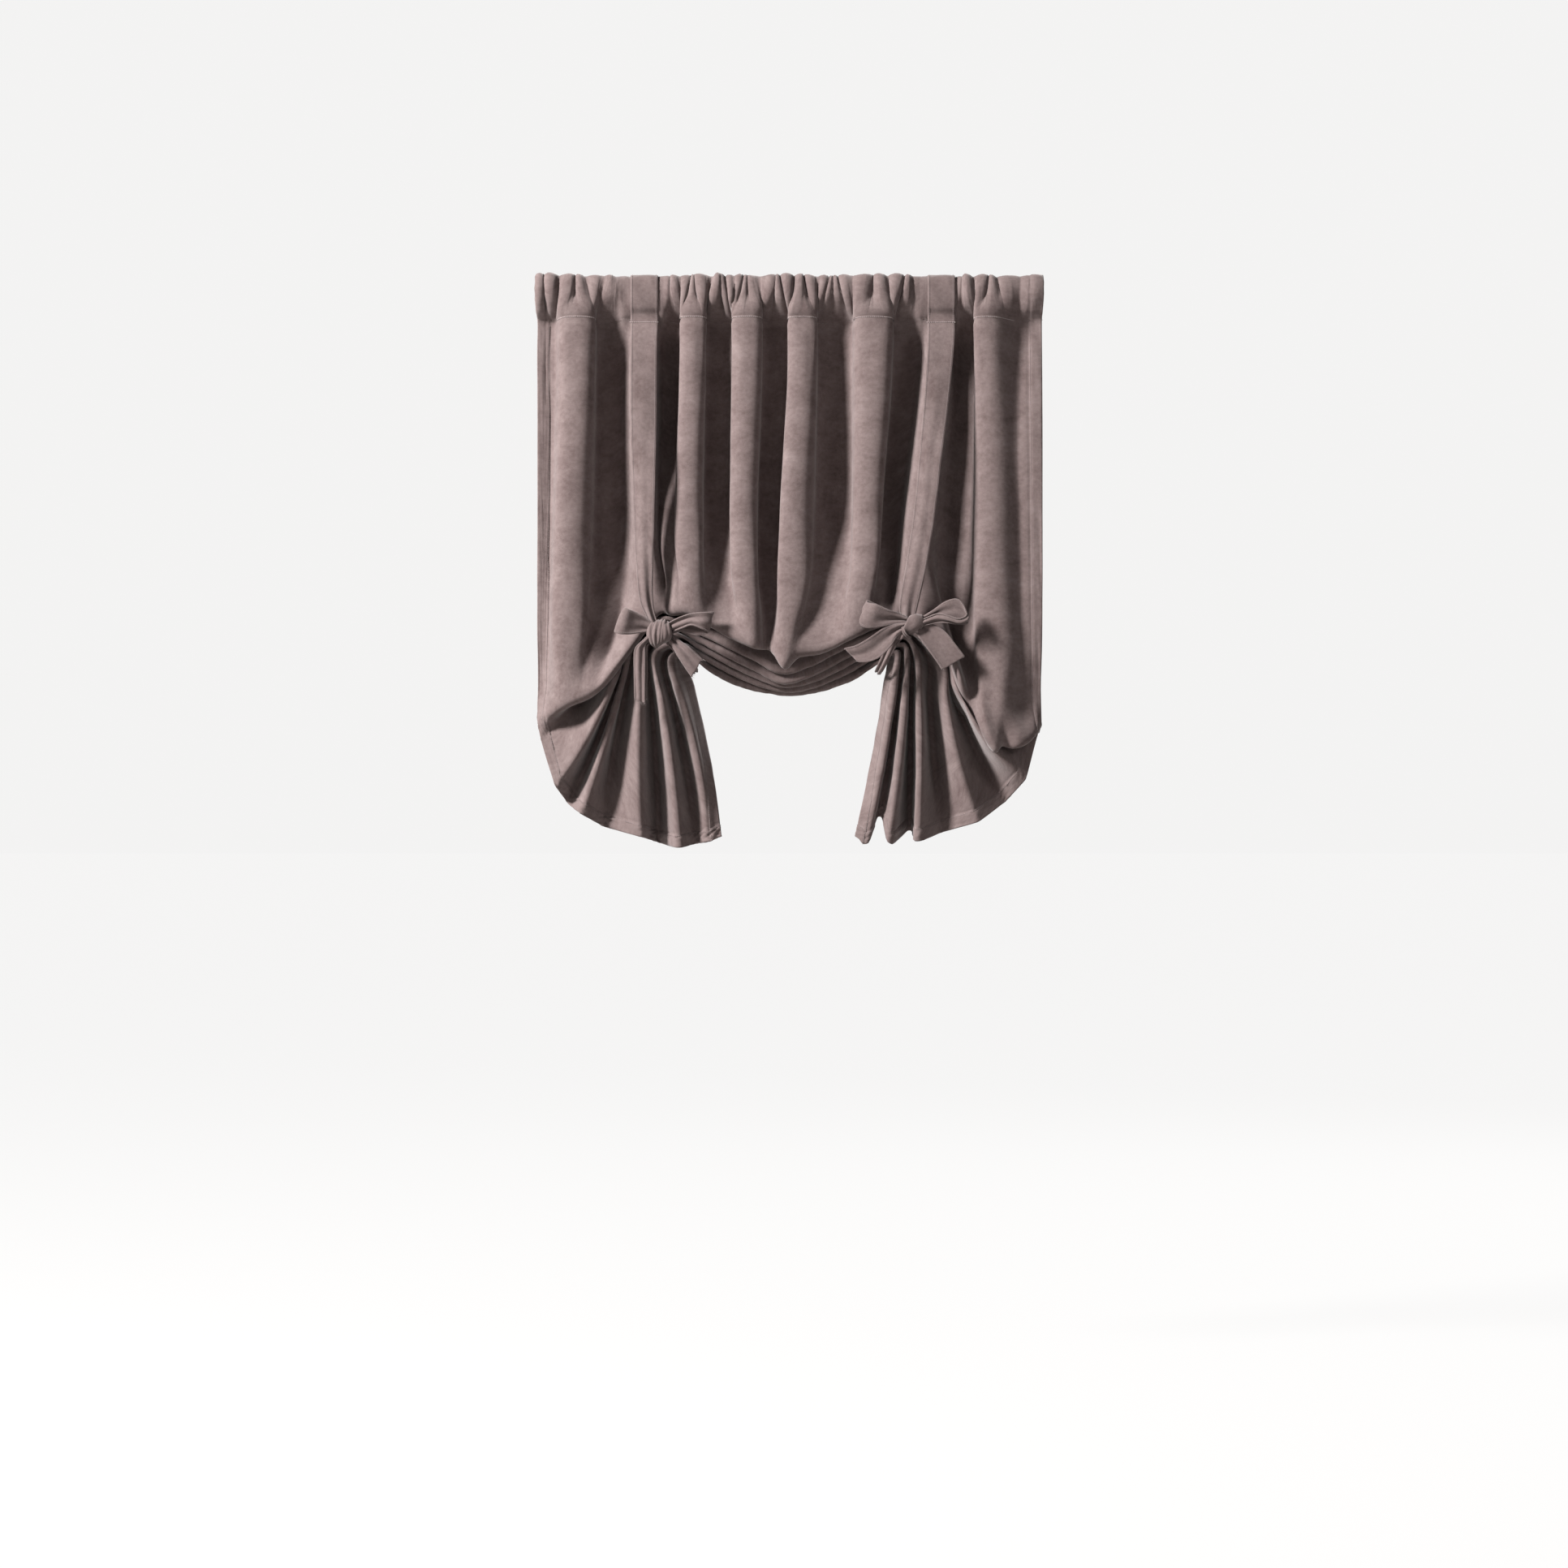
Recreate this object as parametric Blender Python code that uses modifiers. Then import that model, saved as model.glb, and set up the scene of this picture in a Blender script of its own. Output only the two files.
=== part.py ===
# Tie-up curtain: one velvet panel shirred on a rod pocket, its lower part
# folded in five pleats and held up by two pairs of ties with bows.
# Metres, +Z up. The origin is the rod's axis at mid width, X runs along the rod
# and the front faces -Y.

import bpy
import bmesh
from math import cos, pi, sin
from mathutils import Matrix, Vector

# Sizes of the hung curtain, measured down from the rod's axis
HUNG_WIDTH = 0.860
ROD_RADIUS = 0.0125
POCKET_EASE = 0.0035
SEAM_DROP = 0.057
TIE_DROP = 0.585
SWAG_DROP = 0.694
TAIL_DROP = 0.954
LEFT_TIE_X = -0.223
RIGHT_TIE_X = 0.206

# Cloth
CLOTH = 0.0016
GATHERS = 32
GATHER_DEPTH = 0.0085
FOLD_DEPTH = 0.0275
FOLD_OVERHANG = 0.0080
TURN_RADIUS = 0.0042

# Ties
STRAP_WIDTH = 0.047
STRAP_THICKNESS = 0.0026
BOW_WIDTH = 0.170
KNOT_DEPTH = 0.0225
WINDING_DEPTH = 0.06
SEAT_GAP = 0.0006

# Colours of the velvet, linear
PANEL_COLOUR = (0.150, 0.115, 0.108, 1.0)
TIE_COLOUR = (0.165, 0.128, 0.120, 1.0)

# Guide points were taken on a curtain hung at these places; placed() fits them to the sizes above
GUIDE_ACROSS = (-0.430, -0.223, 0.206, 0.430)
GUIDE_DROPS = (0.0, 0.057, 0.585, 0.694, 0.954)
GUIDE_BOW_STEPS = 123
GUIDE_STRAP_WIDTH = 0.047
SLOPE_STEP = 0.05

# The middle of each bow's knot: across, forward, drop
LEFT_KNOT = (-0.2185, 0.060, 0.5935)
RIGHT_KNOT = (0.2060, 0.060, 0.5785)

# Where each fold of the body lies, at the pocket seam and at the ties: edge, crest, hollow, crest ...
FOLDS_AT_SEAM = (-0.430, -0.364, -0.299, -0.249, -0.203, -0.165, -0.122, -0.073, -0.022,
                 0.021, 0.075, 0.144, 0.206, 0.257, 0.296, 0.342, 0.430)
FOLDS_AT_TIES = (-0.430, -0.380, -0.299, -0.242, -0.206, -0.170, -0.123, -0.080, -0.035,
                 0.003, 0.065, 0.127, 0.173, 0.214, 0.275, 0.353, 0.430)

# The pouch's lower edge: station, across, drop, forward
POUCH_EDGE = (
    (0.0, -0.429, 0.718, 0.010),
    (1.0, -0.384, 0.711, 0.050),
    (2.0, -0.326, 0.689, 0.055),
    (2.5, -0.295, 0.653, 0.050),
    (3.0, -0.228, 0.563, 0.022),
    (4.0, -0.200, 0.556, 0.038),
    (5.0, -0.166, 0.558, 0.047),
    (6.0, -0.118, 0.588, 0.044),
    (7.0, -0.062, 0.614, 0.054),
    (8.0, -0.036, 0.618, 0.036),
    (8.5, -0.024, 0.630, 0.048),
    (9.0, -0.008, 0.650, 0.058),
    (9.5, 0.014, 0.629, 0.051),
    (10.0, 0.054, 0.623, 0.044),
    (11.0, 0.115, 0.594, 0.047),
    (12.0, 0.162, 0.574, 0.036),
    (13.0, 0.203, 0.563, 0.022),
    (13.4, 0.267, 0.618, 0.045),
    (14.0, 0.289, 0.688, 0.052),
    (15.0, 0.353, 0.793, 0.050),
    (15.5, 0.393, 0.787, 0.035),
    (16.0, 0.426, 0.747, 0.010),
)

# Each turn of the pleats in a tail: at the tie's gate, at the outer hem, and how far it bows inward
LEFT_TAIL = (
    (-0.274, 0.618, -0.423, 0.773, 0.000),
    (-0.277, 0.598, -0.398, 0.851, 0.016),
    (-0.270, 0.598, -0.378, 0.881, 0.008),
    (-0.264, 0.599, -0.354, 0.899, 0.003),
    (-0.260, 0.603, -0.318, 0.920, -0.006),
    (-0.256, 0.607, -0.253, 0.938, -0.005),
    (-0.250, 0.616, -0.235, 0.945, 0.003),
    (-0.243, 0.625, -0.183, 0.954, 0.008),
    (-0.230, 0.633, -0.160, 0.950, 0.013),
    (-0.214, 0.642, -0.138, 0.946, 0.018),
    (-0.172, 0.655, -0.116, 0.937, 0.006),
)
RIGHT_TAIL = (
    (0.262, 0.630, 0.422, 0.764, 0.055),
    (0.267, 0.635, 0.400, 0.840, 0.020),
    (0.264, 0.638, 0.369, 0.877, 0.012),
    (0.259, 0.639, 0.320, 0.912, 0.011),
    (0.240, 0.633, 0.259, 0.931, 0.003),
    (0.221, 0.628, 0.217, 0.945, -0.004),
    (0.212, 0.627, 0.205, 0.928, 0.000),
    (0.203, 0.627, 0.170, 0.948, -0.003),
    (0.196, 0.632, 0.153, 0.905, -0.003),
    (0.188, 0.638, 0.129, 0.949, -0.004),
    (0.166, 0.650, 0.111, 0.937, -0.004),
)

# The swag's crests: gate at the left, lowest drop, gate at the right, and how round the curve hangs
SWAG_CRESTS = (
    (-0.203, 0.567, 0.665, 0.157, 0.585, 1.00),
    (-0.198, 0.580, 0.679, 0.158, 0.597, 1.15),
    (-0.191, 0.594, 0.684, 0.158, 0.610, 1.35),
    (-0.181, 0.611, 0.690, 0.157, 0.623, 1.60),
    (-0.166, 0.633, 0.694, 0.152, 0.640, 2.10),
)


def mix(a, b, share):
    return a + (b - a) * share


def smooth(low, high, value):
    share = min(1.0, max(0.0, (value - low) / (high - low)))
    return share * share * (3 - 2 * share)


def placed_mesh(name, mesh, collection):
    data = bpy.data.meshes.new(name)
    mesh.to_mesh(data)
    mesh.free()
    for polygon in data.polygons:
        polygon.use_smooth = True
    item = bpy.data.objects.new(name, data)
    collection.objects.link(item)
    return item


# A smooth curve through points at the given knots, read at one value
def through(knots, points, at):
    last = len(knots) - 1
    i = 0
    while i < last - 1 and at > knots[i + 1]:
        i += 1

    def slope(j):
        before = max(0, j - 1)
        after = min(last, j + 1)
        return (points[after] - points[before]) / (knots[after] - knots[before])

    span = knots[i + 1] - knots[i]
    u = (at - knots[i]) / span
    return (points[i] * (2 * u**3 - 3 * u**2 + 1) + slope(i) * (span * (u**3 - 2 * u**2 + u))
            + points[i + 1] * (3 * u**2 - 2 * u**3) + slope(i + 1) * (span * (u**3 - u**2)))


def along_line(knots, values, at):
    i = 0
    while i < len(knots) - 2 and at > knots[i + 1]:
        i += 1
    return mix(values[i], values[i + 1], (at - knots[i]) / (knots[i + 1] - knots[i]))


# A guide point, fitted to the sizes: how far across, how far forward and how far down
def placed(across, forward, drop):
    x = along_line(GUIDE_ACROSS, (-HUNG_WIDTH / 2, LEFT_TIE_X, RIGHT_TIE_X, HUNG_WIDTH / 2), across)
    z = along_line(GUIDE_DROPS, (0.0, SEAM_DROP, TIE_DROP, SWAG_DROP, TAIL_DROP), drop)
    return Vector((x, -forward, -z))


# The pocket's section, from the flap's end behind the rod over it and down its front: back, drop
def pocket_ring():
    radius = ROD_RADIUS + POCKET_EASE
    lap = SEAM_DROP * 0.63
    return ((0.004, SEAM_DROP), (0.012, lap), (radius, 0.012), (0.8 * radius, -0.6 * radius),
            (0.0, -radius), (-0.8 * radius, -0.6 * radius), (-radius, 0.012), (-0.013, lap),
            (-0.004, SEAM_DROP))


# How firmly a tie presses on the cloth at a station: 1 under its strap, 0 away from it
def under_strap(station, inner, outer):
    return max(1 - smooth(inner, outer, abs(station - 3)), 1 - smooth(inner, outer, abs(station - 13)))


# The pocket and the body: one column of points, from the flap's end over the rod and down
def column_above_pouch(station, column, pouch_point):
    knots = range(len(FOLDS_AT_SEAM))
    x_seam = placed(through(knots, FOLDS_AT_SEAM, station), 0, 0).x
    x_ties = placed(through(knots, FOLDS_AT_TIES, station), 0, 0).x
    crest = -cos(pi * station)
    pressed = under_strap(station, 0.65, 1.25)
    fullness = 0.8 + 0.3 * sin(2.3 * station + 0.7)
    gather = GATHER_DEPTH * fullness * (1 - pressed) * (column % 2)
    seam_wave = 0.5 * FOLD_DEPTH * crest * (1 - pressed)

    points = []
    ring = pocket_ring()
    for place, (back, drop) in enumerate(ring):
        from_top = abs(place - 4) / 4
        point = Vector((x_seam, back, -drop))
        if 0 < place < len(ring) - 1:
            point += Vector((0.0, back, -drop)).normalized() * gather
        point.y -= seam_wave * smooth(0.6, 1.0, from_top)
        points.append(point)

    edge = min(1.0, min(station, 16 - station))
    relief = mix(0.55, 0.28, smooth(1.0, 2.0, abs(station - 8)))
    lean = FOLD_OVERHANG * sin(2 * pi * station) * edge * (1 - 0.8 * pressed)
    for share in (0.08, 0.22, 0.40, 0.60, 0.78, 0.91):
        drop = mix(SEAM_DROP, -pouch_point.z, share)
        x = mix(mix(x_seam, x_ties, smooth(0.0, 0.8, share)), pouch_point.x, smooth(0.7, 1.0, share))
        x += lean * mix(0.6, 1.0, smooth(0.0, 0.3, share)) * (1 - smooth(0.75, 1.0, share))
        depth = FOLD_DEPTH * crest * mix(0.7, 1.0, smooth(0.0, 0.4, share))
        forward = mix(0.002 + depth, 0.046 + relief * depth, smooth(0.55, 1.0, share))
        forward = mix(forward, 0.004 + 0.4 * depth, (1 - smooth(0.0, 1.0, edge)) * share)
        forward -= pressed * mix(0.012, 0.026, smooth(0.5, 0.9, share))
        forward += 0.5 * gather * (1 - smooth(0.0, 0.35, share))
        points.append(Vector((x, -forward, -drop)))
    return points


def tail_point(tail, turn, share, side):
    gate_x, gate_drop, hem_x, hem_drop, bow = tail[turn - 1]
    gate = Vector((gate_x, gate_drop))
    hem = Vector((hem_x, hem_drop))
    along = (hem - gate).normalized()
    inward = Vector((-along.y, along.x)) * side
    return mix(gate, hem, share) + inward * bow * 4 * share * (1 - share)


# One turn of the pleats, from hem to hem: its station, across, forward and drop
def pleat_turn(turn):
    crest = turn % 2 == 0
    guide = []
    flat_end = smooth(8, 10, turn)

    def tail_forward(share):
        if crest:
            deep = mix(0.022, 0.035, sin(pi * share)) - 0.002
        else:
            deep = -mix(0.010, 0.020, sin(pi * share))
        return mix(deep, -0.012 if crest else -0.018, flat_end * share)

    for station, share in ((0.0, 1.0), (0.7, 0.74), (1.4, 0.48), (2.0, 0.22), (2.5, 0.0)):
        x, drop = tail_point(LEFT_TAIL, turn, share, -1)
        guide.append((station, x, tail_forward(share), drop))
    guide.append((3.0, -0.223 + 0.0043 * turn, 0.018 if crest else -0.012, 0.556 + 0.0072 * turn))

    row = (turn - 2) / 2
    low_row = min(4, max(0, int(row)))
    high_row = min(4, low_row + 1)
    part = min(1.0, max(0.0, row - low_row)) if 0 < row < 4 else 0.0
    values = [mix(a, b, part) for a, b in zip(SWAG_CRESTS[low_row], SWAG_CRESTS[high_row])]
    left_x, left_drop, low_drop, right_x, right_drop, power = values
    deep = 0.016 - 0.0065 * (turn - 2)
    lift = 0.0 if crest else 0.055
    if turn == 1:
        lift = 0.080
    if turn == 11:
        lift = 0.018
    middle = -0.001
    for station in (3.6, 4.6, 5.8, 7.0, 8.2, 9.4, 10.6, 11.6, 12.4):
        share = (station - 3.6) / (12.4 - 3.6)
        x = mix(left_x, right_x, share)
        if x < middle:
            reach = (middle - x) / (middle - left_x)
            gate_drop = left_drop
        else:
            reach = (x - middle) / (right_x - middle)
            gate_drop = right_drop
        drop = mix(low_drop, gate_drop, reach ** power)
        open_share = 1 - reach ** 2
        drop -= lift * open_share
        forward = mix(0.018 if crest else -0.012, deep, open_share ** 0.5 if open_share > 0 else 0)
        guide.append((station, x, forward, drop))

    guide.append((13.0, 0.202 - 0.0031 * turn, 0.018 if crest else -0.012, 0.558 + 0.0066 * turn))
    for station, share in ((13.5, 0.0), (14.0, 0.22), (14.6, 0.48), (15.3, 0.74), (16.0, 1.0)):
        x, drop = tail_point(RIGHT_TAIL, turn, share, 1)
        guide.append((station, x, tail_forward(share), drop))
    return guide


def read_guide(guide, station):
    knots = [entry[0] for entry in guide]
    points = [Vector(entry[1:]) for entry in guide]
    return placed(*through(knots, points, station))


def pouch_edge_point(station):
    guide = [(s, x, forward, drop) for s, x, drop, forward in POUCH_EDGE]
    return read_guide(guide, station)


# All points of one column of the cloth, from the flap's end down to the bottom hem
def cloth_column(column, columns, turns):
    station = 16 * column / columns
    edge = pouch_edge_point(station)
    points = column_above_pouch(station, column, edge)
    path = [points[-1], edge] + [read_guide(turn, station) for turn in turns]
    tightness = max(1 - smooth(0.3, 1.6, abs(station - 3)), 1 - smooth(0.3, 1.6, abs(station - 13)))
    half_turn = mix(TURN_RADIUS, 0.7 * TURN_RADIUS, tightness)
    for i in range(1, len(path) - 1):
        before = (path[i - 1] - path[i]).normalized()
        after = (path[i + 1] - path[i]).normalized()
        side = (after - before).normalized()
        size = 1.8 * half_turn if i == 1 else half_turn
        points.append(path[i] - side * size)
        if i == 1:
            points.append(path[i] - (before + after).normalized() * 0.4 * size)
        points.append(path[i] + side * size)
    points.append(mix(path[-2], path[-1], 0.55))
    points.append(path[-1])
    return points


def build_panel(collection):
    columns = 2 * GATHERS
    turns = [pleat_turn(turn) for turn in range(1, 12)]
    cloth = [cloth_column(column, columns, turns) for column in range(columns + 1)]
    seam_row = 8

    mesh = bmesh.new()
    grid = []
    for line in cloth:
        vertices = [mesh.verts.new(point) for point in line]
        grid.append(vertices)
    for left, right in zip(grid, grid[1:]):
        for row in range(len(left) - 1):
            mesh.faces.new((left[row], left[row + 1], right[row + 1], right[row]))
    # The flap's end is sewn to the front sheet along the seam
    for line in grid:
        bmesh.ops.pointmerge(mesh, verts=[line[0], line[seam_row]], merge_co=line[seam_row].co.copy())
    panel = placed_mesh("curtain_panel", mesh, collection)
    shell = panel.modifiers.new("Cloth", "SOLIDIFY")
    shell.thickness = CLOTH
    shell.offset = 0
    shell.solidify_mode = "NON_MANIFOLD"
    shell.nonmanifold_thickness_mode = "EVEN"
    shell.nonmanifold_boundary_mode = "FLAT"


# A ribbon along stops: one edge's place, the other edge's place and how far its middle bulges forward
def ribbon(name, stops, collection, per_span=2):
    knots = range(len(stops))
    firsts = [stop[0] for stop in stops]
    seconds = [stop[1] for stop in stops]
    bulges = [stop[2] for stop in stops]
    last = len(stops) - 1
    mesh = bmesh.new()
    lines = []
    for step in range(per_span * last + 1):
        at = step / per_span
        first = through(knots, firsts, at)
        second = through(knots, seconds, at)
        ahead = min(at + SLOPE_STEP, last)
        behind = max(at - SLOPE_STEP, 0)
        along = (through(knots, firsts, ahead) + through(knots, seconds, ahead)
                 - through(knots, firsts, behind) - through(knots, seconds, behind)).normalized()
        middle = (first + second) / 2
        half = (second - first) / 2
        lift = along.cross(half).normalized() * through(knots, bulges, at)
        line = [middle + half * across + lift * (1 - across * across)
                for across in (-1.0, -0.5, 0.0, 0.5, 1.0)]
        lines.append([mesh.verts.new(point) for point in line])
    for upper, lower in zip(lines, lines[1:]):
        for i in range(len(upper) - 1):
            mesh.faces.new((upper[i], upper[i + 1], lower[i + 1], lower[i]))
    band = placed_mesh(name, mesh, collection)
    shell = band.modifiers.new("Thickness", "SOLIDIFY")
    shell.thickness = STRAP_THICKNESS
    shell.offset = 0
    shell.use_even_offset = True
    return band


# The pinched lump of cloth where a bow is tied, wound with the tie
def knot(name, middle, size, tilt, collection):
    mesh = bmesh.new()
    bmesh.ops.create_uvsphere(mesh, u_segments=14, v_segments=8, radius=1.0)
    for vertex in mesh.verts:
        winding = 1 + WINDING_DEPTH * cos(6 * vertex.co.x)
        vertex.co = Vector((vertex.co.x * size[0], vertex.co.y * size[1] * winding, vertex.co.z * size[2]))
    bmesh.ops.transform(mesh, matrix=Matrix.Rotation(tilt, 4, "Y"), verts=mesh.verts)
    bmesh.ops.translate(mesh, vec=middle, verts=mesh.verts)
    return placed_mesh(name, mesh, collection)


def joined(body, others, folded):
    for other in others:
        union = body.modifiers.new("Joined " + other.name, "BOOLEAN")
        union.operation = "UNION"
        union.object = other
        union.use_self = folded
        other.hide_render = True
        other.display_type = "WIRE"


# A stop of a strap: its middle's place, its half width, its bulge, and its right edge's turn forward and down
def strap_stop(across, forward, drop, half, bulge=0.0, ahead=0.0, down=0.0):
    middle = placed(across, forward, drop)
    reach = Vector((half, -ahead, -down)) * (STRAP_WIDTH / GUIDE_STRAP_WIDTH)
    return middle - reach, middle + reach, bulge


# The strap lies on the pocket's outline, so its first stops follow the ring
def strap_over_pocket(across, front):
    clear = CLOTH / 2 + SEAT_GAP + STRAP_THICKNESS / 2
    reach = Vector((STRAP_WIDTH / 2, 0.0, 0.0))
    ring = pocket_ring()
    top = len(ring) // 2
    places = (4, 5, 6, 7, 8) if front else (4, 3, 2, 1)
    facing = -1 if front else 1
    x = placed(across, 0, 0).x
    stops = []
    for place in places:
        back, drop = ring[place]
        if place == top:
            out = Vector((0.0, 0.35 * facing, 1.0)).normalized()
            middle = Vector((x, 2 * SEAT_GAP * facing, -drop)) + out * clear * (1.15 if front else 0.85)
        elif place == len(ring) - 1:
            middle = Vector((x, back - 2.4 * clear, -drop))
        else:
            out = Vector((0.0, back, -drop if abs(drop) < ROD_RADIUS else 0.0)).normalized()
            middle = Vector((x, back, -drop)) + out * clear * (1.4 if front else 1.6)
        stops.append((middle - reach, middle + reach, 0.0))
    return stops


# Stops of a bow's ribbon, given in its own steps from the knot: right, down and forward of each edge, and bulge
def bow_stops(knot_place, rows):
    step = BOW_WIDTH / GUIDE_BOW_STEPS

    def place(right, down, forward):
        return knot_place + Vector((right, -forward, -down)) * step

    return [(place(*first), place(*second), bulge * step) for first, second, bulge in rows]


def build_left_tie(collection, cutters):
    knot_place = placed(*LEFT_KNOT)
    back_place = knot_place + Vector((0.008, KNOT_DEPTH, 0.0))

    front_tie = ribbon("front_tie_left", strap_over_pocket(-0.2475, True) + [
        strap_stop(-0.248, 0.030, 0.110, 0.0228),
        strap_stop(-0.248, 0.040, 0.230, 0.0225, 0.002),
        strap_stop(-0.247, 0.045, 0.340, 0.0195, 0.003, 0.006),
        strap_stop(-0.246, 0.050, 0.450, 0.0160, 0.004, 0.006),
        strap_stop(-0.2434, 0.055, 0.530, 0.0122, 0.004),
        strap_stop(-0.234, 0.059, 0.566, 0.0090, 0.003),
        strap_stop(-0.222, 0.060, 0.587, 0.0090, 0.002),
    ], collection)
    front_knot = knot("left_knot", knot_place, (0.0200, 0.0105, 0.0220), 0.25, cutters)
    outer_loop = ribbon("left_outer_loop", bow_stops(knot_place, (
        ((-6, -10, 3), (-9, -3, 3), 0),
        ((-16, -18, 5), (-21, -1, 6), -2),
        ((-29, -25, 9), (-36, 1.5, 10), -1),
        ((-38, -29.5, 12), (-48, 1.5, 13), 1),
        ((-43, -31.5, 9), (-56, -1, 9.5), 1.5),
        ((-42, -31, 4), (-54, -2, 4), 1),
        ((-32, -27.5, 1), (-40, -1, 1), 0),
        ((-18, -20.5, 0), (-22, -5, 0), 0),
        ((-6, -12, -1), (-8, -6, -1), 0),
    )), cutters)
    outer_tail = ribbon("left_outer_tail", bow_stops(knot_place, (
        ((-8, -4, 5), (-5, 2, 4), 0),
        ((-20, 7, 8), (-13, 8, 5), 0.5),
        ((-31, 18, 7), (-18, 15, 6), 0.8),
        ((-32.8, 30, 6), (-18, 30, 6), 1),
        ((-32.8, 46, 5), (-18, 46, 6), 0.6),
        ((-32.4, 64, 3.5), (-18.2, 66, 5), 1),
        ((-32, 80, 2.5), (-18.4, 86, 4), 0.4),
    )), cutters)
    joined(front_tie, (front_knot, outer_loop, outer_tail), False)

    back_tie = ribbon("back_tie_left", strap_over_pocket(-0.2475, False) + [
        strap_stop(-0.248, -0.036, 0.110, 0.0228),
        strap_stop(-0.248, -0.046, 0.230, 0.0220),
        strap_stop(-0.245, -0.046, 0.350, 0.0190),
        strap_stop(-0.236, -0.046, 0.470, 0.0140),
        strap_stop(-0.216, -0.052, 0.570, 0.0090, 0, 0, -0.0030),
        strap_stop(-0.182, -0.046, 0.628, 0.0065, 0, 0, -0.0045),
        strap_stop(-0.162, -0.024, 0.652, 0.0040, 0, 0, -0.0035),
        strap_stop(-0.158, 0.006, 0.656, 0.0040, 0, 0, -0.0035),
        strap_stop(-0.168, 0.034, 0.645, 0.0045, 0, 0, -0.0060),
        strap_stop(-0.190, 0.039, 0.616, 0.0065, 0, 0, -0.0060),
        (back_place - Vector((0.008, 0, 0.006)), back_place + Vector((0.008, 0, 0.006)), 0.0),
    ], collection, per_span=1)
    back_knot = knot("left_back_knot", back_place, (0.0155, 0.0054, 0.0134), 0.22, cutters)
    inner_loop = ribbon("left_inner_loop", bow_stops(knot_place, (
        ((4, -4, -16), (7, 4, -16), 0),
        ((15, -13, -9), (17, -2, -9), 0),
        ((24, -19, 4), (27, -6, 5), 1),
        ((36, -24, 12), (38, -9.5, 13), 1),
        ((52, -26, 12), (50, -5, 13), -2),
        ((64, -26.5, 8), (57.5, -1, 9), -1),
        ((63, -26, 4), (55, 2, 4.5), 1),
        ((50, -24, 2.5), (42, 2.5, 3), 0),
        ((34, -20, -1), (28, -2, -1), 0),
        ((17, -12, -12), (17, 0, -12), 0),
        ((5, -4, -18), (7, 4, -18), 0),
    )), cutters)
    inner_tail = ribbon("left_inner_tail", bow_stops(knot_place, (
        ((3, 3, -17), (9, -2, -17), 0),
        ((13, 15, -9), (22, 8, -8), 1),
        ((20, 27, 1), (36, 17, 2), 1.5),
        ((29, 41, 4), (45, 25, 5), 1),
        ((38, 54, 4.5), (51.5, 31, 6), 0.5),
    )), cutters)
    joined(back_tie, (back_knot, inner_loop, inner_tail), True)


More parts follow.
